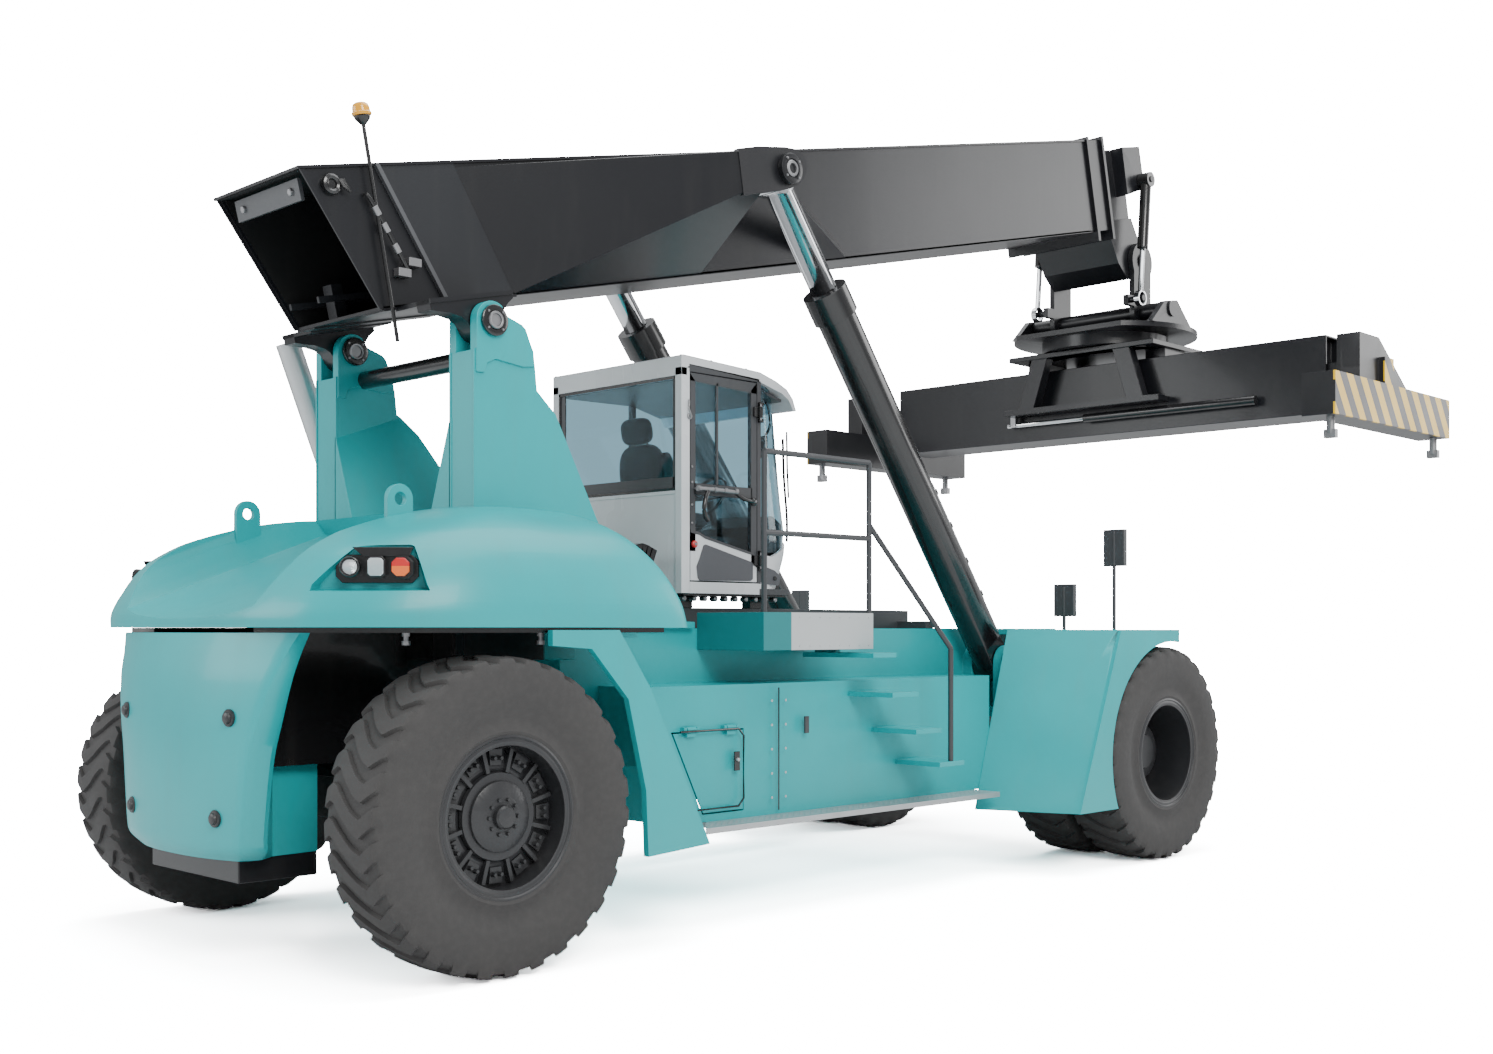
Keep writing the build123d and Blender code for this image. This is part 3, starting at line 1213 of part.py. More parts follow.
# ======================================================= cab
cab_outline = [
    (CAB_REAR, CAB_FLOOR), (CAB_REAR, CAB_ROOF), (3125, 3853), (3450, 3755), (3565, 3080), (3656, 2474),
    (3510, CAB_FLOOR),
]
cab_inner = [
    (CAB_REAR + CAB_WALL, CAB_FLOOR + CAB_WALL), (CAB_REAR + CAB_WALL, CAB_ROOF - CAB_WALL),
    (3115, 3853 - CAB_WALL), (3405, 3715), (3514, 3075), (3602, 2490), (3480, CAB_FLOOR + CAB_WALL),
]
side_window = [(3150, 2800), (3150, 3740), (3380, 3680), (3480, 3060), (3520, 2800)]
GLASS_T = 8.0
with BuildPart() as cab_shell:
    with BuildSketch(side.offset(-CAB_Y)):
        with BuildLine():
            Polyline(*cab_outline, close=True)
        make_face()
    extrude(amount=2 * CAB_Y)
    with BuildSketch(side.offset(-CAB_Y + CAB_WALL)):
        with BuildLine():
            Polyline(*cab_inner, close=True)
        make_face()
    extrude(amount=2 * (CAB_Y - CAB_WALL), mode=Mode.SUBTRACT)
    # rear window
    with BuildSketch(cross.offset(CAB_REAR - 10)):
        with Locations((0, 3335)):
            Rectangle(2 * CAB_Y - 200, 830)
    extrude(amount=CAB_WALL + 20, mode=Mode.SUBTRACT)
    # windscreen and the panes below and above it
    with BuildSketch(cross.offset(3300)):
        with Locations((0, 3210)):
            Rectangle(2 * CAB_Y - 200, 860)
    extrude(amount=400, mode=Mode.SUBTRACT)
    # quarter windows on both sides, and a full window opposite the door
    with BuildSketch(side.offset(-CAB_Y)):
        with BuildLine():
            Polyline(*side_window, close=True)
        make_face()
    extrude(amount=2 * CAB_Y, mode=Mode.SUBTRACT)
    with BuildSketch(side.offset(-CAB_Y)):
        with Locations(((DOOR_REAR + DOOR_FRONT) / 2, 3280)):
            Rectangle(DOOR_FRONT - DOOR_REAR, 900)
    extrude(amount=CAB_WALL, mode=Mode.SUBTRACT)
    # door opening
    with BuildSketch(side.offset(CAB_Y)):
        with Locations(((DOOR_REAR + DOOR_FRONT) / 2, (DOOR_FOOT + DOOR_TOP) / 2)):
            Rectangle(DOOR_FRONT - DOOR_REAR + 2 * DOOR_GAP, DOOR_TOP - DOOR_FOOT + 2 * DOOR_GAP)
    extrude(amount=-CAB_WALL, mode=Mode.SUBTRACT)
    # hinge pins
    for z in (2450, 3550):
        with BuildSketch(plan.offset(z - 60)):
            with Locations((DOOR_FRONT + 20, -CAB_Y - 20)):
                Circle(9)
        extrude(amount=120)
        for z_ear in (z - 75, z + 45):
            with BuildSketch(plan.offset(z_ear)):
                with Locations((DOOR_FRONT + 35, -CAB_Y - 14)):
                    Rectangle(48, 34)
            extrude(amount=30)
    # skids on the rails
    with BuildSketch(plan.offset(RAIL_TOP + SLIDE_GAP)):
        for x in (2500, 3300):
            for sign in (1, -1):
                with Locations((x, sign * RAIL_Y)):
                    Rectangle(200, RAIL_W)
    extrude(amount=CAB_FLOOR - RAIL_TOP - SLIDE_GAP)
write(cab_shell, "cab_shell")

with BuildPart() as cab_door:
    with BuildSketch(side.offset(CAB_Y)):
        with Locations(((DOOR_REAR + DOOR_FRONT) / 2, (DOOR_FOOT + DOOR_TOP) / 2)):
            Rectangle(DOOR_FRONT - DOOR_REAR, DOOR_TOP - DOOR_FOOT)
        with Locations(((DOOR_REAR + DOOR_FRONT) / 2, 3240)):
            Rectangle(DOOR_FRONT - DOOR_REAR - 130, 920, mode=Mode.SUBTRACT)
    extrude(amount=-DOOR_T)
    # hinge knuckles
    for z in (2450, 3550):
        with BuildSketch(plan.offset(z - 40)):
            with Locations((DOOR_FRONT + 20, -CAB_Y - 20)):
                Circle(19)
            with Locations((DOOR_FRONT - 10, -CAB_Y - 10)):
                Rectangle(50, 20)
            with Locations((DOOR_FRONT + 20, -CAB_Y - 20)):
                Circle(9 + BEARING_GAP, mode=Mode.SUBTRACT)
        extrude(amount=80)
write(cab_door, "cab_door")

with BuildPart() as door_glass:
    with BuildSketch(side.offset(CAB_Y - 12)):
        with Locations(((DOOR_REAR + DOOR_FRONT) / 2, 3240)):
            Rectangle(DOOR_FRONT - DOOR_REAR - 130, 920)
    extrude(amount=-GLASS_T)
write(door_glass, "door_glass")

with BuildPart() as cab_glass:
    with BuildSketch(cross.offset(CAB_REAR + 15)):
        with Locations((0, 3335)):
            Rectangle(2 * CAB_Y - 200, 830)
    extrude(amount=GLASS_T)
    for y in (CAB_Y - 15, -CAB_Y + 15 + GLASS_T):
        with BuildSketch(side.offset(-y)):
            with BuildLine():
                Polyline(*side_window, close=True)
            make_face()
        extrude(amount=GLASS_T)
    with BuildSketch(side.offset(-CAB_Y + 15)):
        with Locations(((DOOR_REAR + DOOR_FRONT) / 2, 3280)):
            Rectangle(DOOR_FRONT - DOOR_REAR, 900)
    extrude(amount=GLASS_T)
    with BuildSketch(side.offset(-CAB_Y + 100)):
        with BuildLine():
            Polyline(
                (3435, 3640), (3443, 3640), (3548, 3080), (3591, 2780), (3583, 2780), (3540, 3080), close=True
            )
        make_face()
    extrude(amount=2 * CAB_Y - 200)
write(cab_glass, "cab_glass")

floor = CAB_FLOOR + CAB_WALL
with BuildPart() as cab_seat:
    with BuildSketch(plan.offset(floor)):
        with Locations((2800, 0)):
            Rectangle(380, 380)
    extrude(amount=280)
    with BuildSketch(plan.offset(floor + 280)):
        with Locations((2820, 0)):
            Rectangle(500, 520)
    extrude(amount=140)
    with BuildSketch(side.offset(-240)):
        with BuildLine():
            Polyline(
                (2620, floor + 400), (2500, floor + 1080), (2590, floor + 1090), (2720, floor + 420), close=True
            )
        make_face()
    extrude(amount=480)
    with BuildSketch(plan.offset(floor)):
        with Locations((3380, 0)):
            Rectangle(120, 160)
    extrude(amount=560)
write(cab_seat, "cab_seat")
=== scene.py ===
import json
import math
import bmesh
import bpy
import numpy as np
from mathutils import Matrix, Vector

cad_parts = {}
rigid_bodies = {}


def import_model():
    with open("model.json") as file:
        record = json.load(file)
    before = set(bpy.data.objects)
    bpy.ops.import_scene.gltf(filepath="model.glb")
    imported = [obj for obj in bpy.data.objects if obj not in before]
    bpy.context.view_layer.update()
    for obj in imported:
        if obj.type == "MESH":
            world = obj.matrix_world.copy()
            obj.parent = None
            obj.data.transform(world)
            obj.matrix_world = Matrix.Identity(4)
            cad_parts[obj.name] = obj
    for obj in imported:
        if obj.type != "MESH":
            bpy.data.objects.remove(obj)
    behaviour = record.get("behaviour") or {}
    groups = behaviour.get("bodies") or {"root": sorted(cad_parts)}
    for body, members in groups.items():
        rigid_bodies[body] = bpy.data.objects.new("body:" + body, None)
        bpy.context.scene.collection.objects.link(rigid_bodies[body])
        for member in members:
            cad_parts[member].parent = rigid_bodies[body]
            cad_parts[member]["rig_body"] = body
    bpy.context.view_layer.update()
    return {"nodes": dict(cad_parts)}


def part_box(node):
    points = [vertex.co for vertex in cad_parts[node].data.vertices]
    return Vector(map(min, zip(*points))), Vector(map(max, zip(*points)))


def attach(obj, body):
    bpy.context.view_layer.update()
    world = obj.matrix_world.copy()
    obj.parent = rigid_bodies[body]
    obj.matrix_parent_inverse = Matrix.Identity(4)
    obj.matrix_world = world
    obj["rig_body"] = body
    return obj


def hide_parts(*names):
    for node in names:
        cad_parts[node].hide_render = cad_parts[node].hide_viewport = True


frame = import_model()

# ---------------------------------------------------------------- yard and light
# A plain pale floor without an edge, under a large soft overhead light with a
# broad key from the rear right, where the machine is looked at from.
rear_x = (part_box("rear_axle")[0].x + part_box("rear_axle")[1].x) / 2
floor_mesh = bpy.data.meshes.new("yard_floor")
floor_mesh.from_pydata([(-90, -90, 0), (90, -90, 0), (90, 90, 0), (-90, 90, 0)], [], [(0, 1, 2, 3)])
floor = bpy.data.objects.new("yard_floor", floor_mesh)
bpy.context.scene.collection.objects.link(floor)

eye = bpy.data.cameras.new("eye")
eye.lens, eye.sensor_width, eye.shift_y, eye.clip_end = 38.24, 36, 0.0681, 400
eye_at = bpy.data.objects.new("eye", eye)
eye_at.location = (rear_x - 5.359, -8.879, 1.948)
eye_at.rotation_euler = (math.radians(90), 0, math.radians(-45.63))
bpy.context.scene.collection.objects.link(eye_at)
bpy.context.scene.camera = eye_at

# lamp: name, place, aims at, size, power, colour
lamps = [
    ("key", (-9, -17, 13), (0, 0, 2), 8, 2600, (1.0, 0.99, 0.97)),
    ("top", (1, 0, 17), (0, 0, 2), 18, 3400, (0.97, 0.99, 1.0)),
    ("left", (-16, 8, 7), (-4, 0, 2), 8, 900, (0.97, 0.99, 1.0)),
    ("front", (16, -8, 8), (3, 0, 3), 9, 900, (1.0, 1.0, 1.0)),
]
for name, place, aim, size, power, colour in lamps:
    lamp = bpy.data.lights.new(name, "AREA")
    lamp.size, lamp.energy, lamp.color = size, power, colour
    lamp_at = bpy.data.objects.new(name, lamp)
    lamp_at.location = place
    lamp_at.rotation_euler = (Vector(aim) - Vector(place)).to_track_quat("-Z", "Y").to_euler()
    bpy.context.scene.collection.objects.link(lamp_at)
world = bpy.data.worlds.new("studio")
world.use_nodes = True
ray = world.node_tree.nodes.new("ShaderNodeLightPath")
glow = world.node_tree.nodes.new("ShaderNodeMapRange")
glow.inputs["To Min"].default_value, glow.inputs["To Max"].default_value = 0.6, 24.0
world.node_tree.links.new(ray.outputs["Is Camera Ray"], glow.inputs["Value"])
world.node_tree.links.new(glow.outputs["Result"], world.node_tree.nodes["Background"].inputs["Strength"])
world.node_tree.nodes["Background"].inputs["Color"].default_value = (0.97, 0.985, 1.0, 1)
bpy.context.scene.world = world


class Value:
    """A shader number: +, -, * and > add Math nodes."""

    def __init__(self, tree, socket):
        self.tree, self.socket = tree, socket

    def math(self, operation, *others, first=None):
        made = self.tree.nodes.new("ShaderNodeMath")
        made.operation = operation
        for index, item in enumerate(([self] if first is None else [first, self]) + list(others)):
            if isinstance(item, Value):
                self.tree.links.new(item.socket, made.inputs[index])
            else:
                made.inputs[index].default_value = item
        return Value(self.tree, made.outputs[0])

    def __add__(self, other):
        return self.math("ADD", other)

    def __radd__(self, other):
        return self.math("ADD", first=other)

    def __sub__(self, other):
        return self.math("SUBTRACT", other)

    def __rsub__(self, other):
        return self.math("SUBTRACT", first=other)

    def __mul__(self, other):
        return self.math("MULTIPLY", other)

    def __rmul__(self, other):
        return self.math("MULTIPLY", first=other)

    def __gt__(self, other):
        return self.math("GREATER_THAN", other)

    def clip(self, low, high):
        """0 below low, 1 above high, straight between."""
        scaled = (self - low) * (1 / (high - low))
        return scaled.math("MAXIMUM", 0.0).math("MINIMUM", 1.0)


class Finish:
    """One material while it is put together."""

    def __init__(self, name):
        self.made = bpy.data.materials.new(name)
        self.made.use_nodes = True
        self.tree = self.made.node_tree
        self.shader = self.tree.nodes["Principled BSDF"]
        self.place = self.node("TexCoord")["Object"]

    def node(self, kind, settings=(), sockets=()):
        """Adds one node: its type, then its settings, then values or links for its sockets."""
        made = self.tree.nodes.new("ShaderNode" + kind)
        for key, value in dict(settings).items():
            setattr(made, key, value)
        for key, value in dict(sockets).items():
            self.put(made.inputs[key], value)
        return {out.name: Value(self.tree, out) for out in made.outputs if out.enabled}

    def put(self, socket, value):
        if isinstance(value, Value):
            self.tree.links.new(value.socket, socket)
        elif isinstance(value, tuple) and len(value) == 3 and socket.type == "RGBA":
            socket.default_value = (*value, 1)
        else:
            socket.default_value = value

    def noise(self, scale, detail=3.0, stretch=(1, 1, 1)):
        """Cloudy noise from 0 to 1; stretch multiplies the place along each axis first."""
        place = self.node("Mapping", {}, {"Vector": self.place, "Scale": stretch})["Vector"]
        return self.node("TexNoise", {}, {"Vector": place, "Scale": scale, "Detail": detail})["Fac"]

    def axis(self, name):
        return self.node("SeparateXYZ", {}, {"Vector": self.place})[name]

    def mix(self, share, first, second):
        """Colour first where share is 0 and second where it is 1."""
        made = self.tree.nodes.new("ShaderNodeMix")
        made.data_type = "RGBA"
        for socket, value in ((made.inputs[0], share), (made.inputs[6], first), (made.inputs[7], second)):
            self.put(socket, value)
        return Value(self.tree, made.outputs[2])

    def bump(self, height, strength, distance):
        return self.node("Bump", {}, {"Height": height, "Strength": strength,
                                      "Distance": distance})["Normal"]

    def shade(self, **sockets):
        """Sets the shader's sockets; an underscore stands for a space."""
        for key, value in sockets.items():
            self.put(self.shader.inputs[key.replace("_", " ")], value)
        return self.made


concrete = Finish("pale_floor")
ray = concrete.node("LightPath")["Is Camera Ray"]
far = concrete.node("VectorMath", {"operation": "LENGTH"}, {0: concrete.place})["Value"].clip(9, 24)
seen_pale = concrete.mix(far, (14.0, 14.05, 14.1), (70.0, 70.0, 70.0))
pale = concrete.node("BsdfDiffuse", {}, {"Color": concrete.mix(ray, (0.80, 0.81, 0.82), seen_pale)})["BSDF"]
concrete.tree.links.new(pale.socket, concrete.tree.nodes["Material Output"].inputs["Surface"])
floor.data.materials.append(concrete.made)


road_dust = (0.16, 0.15, 0.13)


def paint(name, colour, rough, dirtiness=0.3, metallic=0.0, coat=0.0, grain=0.15):
    """Sprayed paint on steel: faint clouding, rain streaks drawn out along z, road dust that
    fades out by 1.4 m above the ground, and the fine orange peel of a spray gun as bump."""
    finish = Finish(name)
    clouds = finish.noise(1.3, 5)
    streaks = finish.noise(3.0, 4, (2.2, 2.2, 0.22))
    low = 1 - finish.axis("Z").clip(0.2, 1.4)
    grime = ((streaks.clip(0.52, 0.80) * 0.35 + low * clouds.clip(0.35, 0.75) * 0.9) * dirtiness).clip(0, 1)
    darker, lighter = tuple(c * 0.93 for c in colour), tuple(min(1, c * 1.05) for c in colour)
    tone = finish.mix(clouds.clip(0.3, 0.7), darker, lighter)
    return finish.shade(
        Base_Color=finish.mix(grime, tone, road_dust),
        Roughness=rough + grime * 0.45 + clouds * 0.06,
        Metallic=metallic,
        Coat_Weight=coat,
        Coat_Roughness=0.08,
        Normal=finish.bump(finish.noise(220, 2), grain, 0.0012),
    )


teal_tone, boom_tone = (0.0, 0.40, 0.425), (0.0075, 0.008, 0.0105)
teal = paint("teal_paint", teal_tone, 0.34, coat=0.10, dirtiness=0.22)
anthracite = paint("boom_paint", boom_tone, 0.30, dirtiness=0.08, coat=0.10)
black = paint("cylinder_black", (0.008, 0.008, 0.009), 0.22, dirtiness=0.2, coat=0.5)
frame_grey = paint("frame_grey", (0.050, 0.053, 0.058), 0.38, dirtiness=0.25)
rim_grey = paint("rim_grey", (0.022, 0.023, 0.026), 0.36, dirtiness=0.2, coat=0.1)
casting = paint("axle_casting", (0.045, 0.047, 0.050), 0.6, dirtiness=0.6, grain=0.6)
galvanised = paint("galvanised_sheet", (0.60, 0.61, 0.62), 0.36, dirtiness=0.35, metallic=0.75)
steel = paint("lock_steel", (0.33, 0.33, 0.34), 0.42, dirtiness=0.3, metallic=0.9)

chrome_tree = Finish("hard_chrome")
chrome = chrome_tree.shade(
    Base_Color=(0.72, 0.73, 0.75), Metallic=1.0,
    Roughness=0.08 + chrome_tree.noise(5, 3, (1, 1, 6)).clip(0.45, 0.75) * 0.12,
)

window_tree = Finish("tinted_glass")
window = window_tree.shade(Base_Color=(0.66, 0.89, 0.98), Roughness=0.0 + window_tree.noise(1.1,
                                                                                            2) * 0.01,
                           Transmission_Weight=1.0, IOR=1.12, Coat_Weight=0.6,)

cloth_tree = Finish("seat_cloth")
cloth = cloth_tree.shade(Base_Color=cloth_tree.mix(cloth_tree.noise(140, 2), (0.010, 0.010, 0.012),
                                                   (0.045, 0.045, 0.05)), Roughness=0.85,
                         Sheen_Weight=0.3, Normal=cloth_tree.bump(cloth_tree.noise(260, 2), 0.5, 0.002),)

amber_tree = Finish("amber_lens")
amber = amber_tree.shade(Base_Color=(0.90, 0.40, 0.0), Roughness=0.12 + amber_tree.noise(30, 2) * 0.1,
                         Coat_Weight=0.8)


# ---------------------------------------------------------------- plated work
# Axles, side boxes, walkways, rails, inner boom, cylinders and spreader keep the
# shape of their CAD solids and get a rolled or ground edge and their own paint.
def round_edges(piece, edge, angle):
    """Rounds the edges that turn by more than the angle, with a radius of `edge` metres."""
    rounding = piece.modifiers.new("edge", "BEVEL")
    rounding.width, rounding.segments, rounding.limit_method = edge, 2, "ANGLE"
    rounding.angle_limit = angle
    rounding.harden_normals = True


def dress(node, finish, edge):
    """Copies a CAD solid, merges its loose triangles into faces and rounds its edges by `edge` metres."""
    sharp = math.radians(30)
    source = frame["nodes"][node]
    mesh = bpy.data.meshes.new(node + "_plated")
    work = bmesh.new()
    work.from_mesh(source.data)
    bmesh.ops.remove_doubles(work, verts=work.verts, dist=1e-5)
    bmesh.ops.dissolve_limit(work, angle_limit=math.radians(1.0), verts=work.verts, edges=work.edges,
                             use_dissolve_boundaries=False)
    work.to_mesh(mesh)
    work.free()
    piece = bpy.data.objects.new(node + "_plated", mesh)
    bpy.context.scene.collection.objects.link(piece)
    mesh.materials.clear()
    mesh.materials.append(finish)
    mesh.shade_smooth()
    mesh.set_sharp_from_angle(angle=sharp)
    if edge:
        round_edges(piece, edge, sharp)
    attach(piece, source["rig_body"])
    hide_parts(node)


# CAD node: finish, edge radius
plated = [
    ("side_box_left", teal, 0.006), ("side_box_right", teal, 0.006), ("side_hatch", teal, 0.003),
    ("ballast_box", anthracite, 0.008), ("tower_cross_tube", black, 0.0), ("rear_fenders", teal, 0.008),
    ("front_fenders", teal, 0.008), ("walkways", galvanised, 0.004), ("access_steps", teal, 0.003),
    ("handrails", frame_grey, 0.0), ("cab_rails", frame_grey, 0.004), ("mirrors", frame_grey, 0.004),
    ("exhaust_stack", galvanised, 0.004), ("front_axle", casting, 0.01), ("rear_axle", casting, 0.008),
    ("knuckle_left", casting, 0.004), ("knuckle_right", casting, 0.004), ("inner_boom", anthracite, 0.006),
    ("tilt_head", anthracite, 0.006), ("side_shift_frame", anthracite, 0.006), ("shift_rod", chrome, 0.0),
    ("shift_barrel", black, 0.0), ("spreader_beam", anthracite, 0.006),
]
for side in ("left", "right"):
    plated += [
        ("lift_barrel_" + side, black, 0.004), ("lift_rod_" + side, chrome, 0.0),
        ("damper_barrel_" + side, black, 0.002), ("damper_rod_" + side, chrome, 0.0),
        ("twistlock_rear_" + side, steel, 0.002), ("twistlock_front_" + side, steel, 0.002),
    ]
for node, finish, edge in plated:
    dress(node, finish, edge)


# ---------------------------------------------------------------- tyres and rims
# Earth-mover tyres, 18.00-25: a smooth round sidewall with moulded rings, and a
# directional tread of chevron bars whose ends notch the shoulders.
pinhole = 0.0001


def at(x, y, z):
    """Place given forward of the rear axle."""
    return np.array((rear_x + x, y, z))


def outward(a):
    """Direction at angle a in the upright plane of the wheels."""
    return np.array((math.cos(a), 0, math.sin(a)))


def grid_faces(rows, columns, close_rows, close_columns):
    """Quads of a grid whose last row or column may join its first."""
    r = np.arange(rows if close_rows else rows - 1)[:, None]
    c = np.arange(columns if close_columns else columns - 1)[None, :]
    r2, c2 = (r + 1) % rows, (c + 1) % columns
    return np.stack([r * columns + c, r * columns + c2, r2 * columns + c2, r2 * columns + c],
                    -1).reshape(-1, 4)


class Piece:
    """Points and faces of one piece, gathered part by part and then made one mesh."""

    def __init__(self):
        self.points, self.faces, self.slots, self.total = [], [], [], 0

    def add(self, points, faces, slot=0):
        points = np.asarray(points, float).reshape(-1, 3)
        self.points.append(points)
        self.faces += [tuple(int(i) + self.total for i in face) for face in faces]
        self.slots += [slot] * len(faces)
        self.total += len(points)

    def turned(self, profile, centre, axis, around, slot=0):
        """Closed profile of (distance along the axis, distance out of it), turned about the axis."""
        profile = np.asarray(profile, float)
        axis = np.asarray(axis, float) / np.linalg.norm(axis)
        u = np.cross(axis, (0, 0, 1.0) if abs(axis[2]) < 0.9 else (1.0, 0, 0))
        u /= np.linalg.norm(u)
        v = np.cross(axis, u)
        a = np.linspace(0, 2 * np.pi, around, endpoint=False)[:, None, None]
        ring = np.cos(a) * u + np.sin(a) * v
        points = np.asarray(centre) + profile[None, :, :1] * axis + profile[None, :, 1:] * ring
        self.add(points, grid_faces(around, len(profile), True, True), slot)

    def knob(self, profile, centre, axis, around, slot=0):
        """Solid turned shape: the profile's flat ends run in to a pinhole on the axis."""
        self.turned([(profile[0][0], pinhole), *profile, (profile[-1][0], pinhole)], centre,
                    axis, around, slot)

    def plate(self, outline, origin, across, up, depth, slot=0):
        """Outline of (a, b) at origin + a*across + b*up, carried straight along depth, both ends closed."""
        outline = np.asarray(outline, float)
        across, up = np.asarray(across, float), np.asarray(up, float)
        near = np.asarray(origin, float) + outline[:, :1] * across + outline[:, 1:] * up
        count = len(outline)
        faces = list(grid_faces(2, count, False, True)) + [tuple(range(count))[::-1],
                                                           tuple(range(count, 2 * count))]
        self.add(np.concatenate([near, near + np.asarray(depth, float)]), faces, slot)

    def side_plate(self, outline, y, depth, slot=0):
        """Plate across the machine from y to y + depth; its outline is (x forward of the rear axle, z)."""
        self.plate(outline, (rear_x, y, 0), (1, 0, 0), (0, 0, 1), (0, depth, 0), slot)

    def block(self, corner, other, slot=0):
        """Box between two opposite corners."""
        (x0, y0, z0), (x1, y1, z1) = np.minimum(corner, other), np.maximum(corner, other)
        self.plate([(x0, y0), (x1, y0), (x1, y1), (x0, y1)], (0, 0, z0), (1, 0, 0), (0, 1, 0),
                   (0, 0, z1 - z0), slot)

    def bolts(self, places, axis, radius, height, slot=0):
        """Hexagon heads: one prism at each place, standing along the axis."""
        axis = np.asarray(axis, float) / np.linalg.norm(axis)
        for place in places:
            self.knob([(0, radius), (height * 0.8, radius), (height, radius * 0.8)], place, axis, 6, slot)

    def bolt_ring(self, centre, reach, count, axis, radius, height):
        """Evenly spaced bolts round the centre, at the reach from it in the plane of the wheels."""
        turns = np.linspace(0, 2 * np.pi, count, endpoint=False)
        self.bolts([centre + reach * outward(a) for a in turns], axis, radius, height)

    def tube(self, path, radius, around=12, slot=0):
        """Round bar of the radius carried along a line of points, its ends closed."""
        path = np.asarray(path, float)
        ahead = np.gradient(path, axis=0)
        ahead /= np.linalg.norm(ahead, axis=1)[:, None]
        spare = np.array((0, 0, 1.0)) if abs(ahead[0][2]) < 0.9 else np.array((1.0, 0, 0))
        u = np.cross(ahead, spare)
        u /= np.linalg.norm(u, axis=1)[:, None]
        v = np.cross(ahead, u)
        a = np.linspace(0, 2 * np.pi, around, endpoint=False)
        ring = np.cos(a)[None, :, None] * u[:, None] + np.sin(a)[None, :, None] * v[:, None]
        count = len(path)
        faces = list(grid_faces(count, around, False, True))
        faces += [tuple(range(around))[::-1], tuple(range((count - 1) * around, count * around))]
        self.add(path[:, None] + radius * ring, faces, slot)

    def done(self, name, body, finishes, angle=35, edge=0.0, stands_for=(), slot_name=None):
        """Makes the mesh, turns its faces outwards, smooths it and lets it ride on its body."""
        mesh = bpy.data.meshes.new(name)
        mesh.from_pydata(np.concatenate(self.points).tolist(), [], self.faces)
        work = bmesh.new()
        work.from_mesh(mesh)
        for face, slot in zip(work.faces, self.slots):
            face.material_index = slot
        bmesh.ops.remove_doubles(work, verts=work.verts, dist=2e-5)
        bmesh.ops.recalc_face_normals(work, faces=work.faces)
        work.to_mesh(mesh)
        work.free()
        for finish in finishes:
            mesh.materials.append(finish)
        mesh.shade_smooth()
        mesh.set_sharp_from_angle(angle=math.radians(angle))
        piece = bpy.data.objects.new(name, mesh)
        bpy.context.scene.collection.objects.link(piece)
        if edge:
            round_edges(piece, edge, math.radians(angle))
        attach(piece, body)
        if stands_for:
            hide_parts(*stands_for)
        return piece


rubber_tree = Finish("tyre_rubber")
rubber_dust = rubber_tree.noise(3, 5).clip(0.2, 0.9)
rubber_smear = rubber_tree.noise(22, 3, (1, 0.3, 1)).clip(0.4, 0.8)
rubber = rubber_tree.shade(Base_Color=rubber_tree.mix((rubber_dust * 0.6 + rubber_smear * 0.25).clip(0,
                                                                                                     1),
                                                      (0.034, 0.033, 0.033), (0.066, 0.063, 0.061)),
                           Roughness=0.62 + rubber_dust * 0.25,
                           Normal=rubber_tree.bump(rubber_tree.noise(120, 3), 0.25, 0.002),)

TYRE_OUT, TREAD_FLOOR, BARS = 0.900, 0.876, 30
# sidewall and tread, from bead to bead: offset from the tyre's middle, radius, share of bar height
tyre_half = np.array([(0.205, 0.430, 0), (0.222, 0.450, 0), (0.232, 0.480, 0), (0.216, 0.520, 0),
                      (0.214, 0.560, 0), (0.238, 0.620, 0), (0.248, 0.680, 0), (0.250, 0.740, 0),
                      (0.247, 0.790, 0.0), (0.243, 0.822, 0.35), (0.238, 0.842, 0.9), (0.228, 0.858, 1),
                      (0.205, 0.866, 1), (0.165, 0.870, 1), (0.125, 0.873, 1), (0.085, 0.875, 1),
                      (0.045, 0.876, 1), (0.0, 0.876, 0.9)])
tyre_profile = np.concatenate([tyre_half[:-1], tyre_half[::-1] * (-1, 1, 1)])
# one pitch of the tread: phase, height of the bar
bar_phase = np.array([(0.0, 0), (0.04, 1), (0.30, 1), (0.56, 1), (0.60, 0), (0.80, 0)])


def tyre_surface(centre, facing):
    """Point (i, j): profile j raised by bar height i, at angle 2 pi (i + shift(offset)) / bars, where the
    shift zigzags across the tread so that the bars make chevrons."""
    offset, radius, raised = tyre_profile.T
    phase = (np.arange(BARS)[:, None] + bar_phase[None, :, 0]).reshape(-1, 1)
    height = np.tile(bar_phase[:, 1], BARS)[:, None]
    zigzag = 0.62 * np.interp(offset, (-0.25, -0.15, 0.02, 0.12, 0.25), (0.0, -0.55, 0.65, 1.1, 0.35))
    angle = 2 * np.pi * (phase + zigzag[None, :]) / BARS
    out = radius[None, :] + height * raised[None, :] * (TYRE_OUT - TREAD_FLOOR)
    return np.stack([centre[0] + out * np.cos(angle), centre[1] + facing * offset[None, :] + 0 * angle,
                     centre[2] + out * np.sin(angle)], -1)


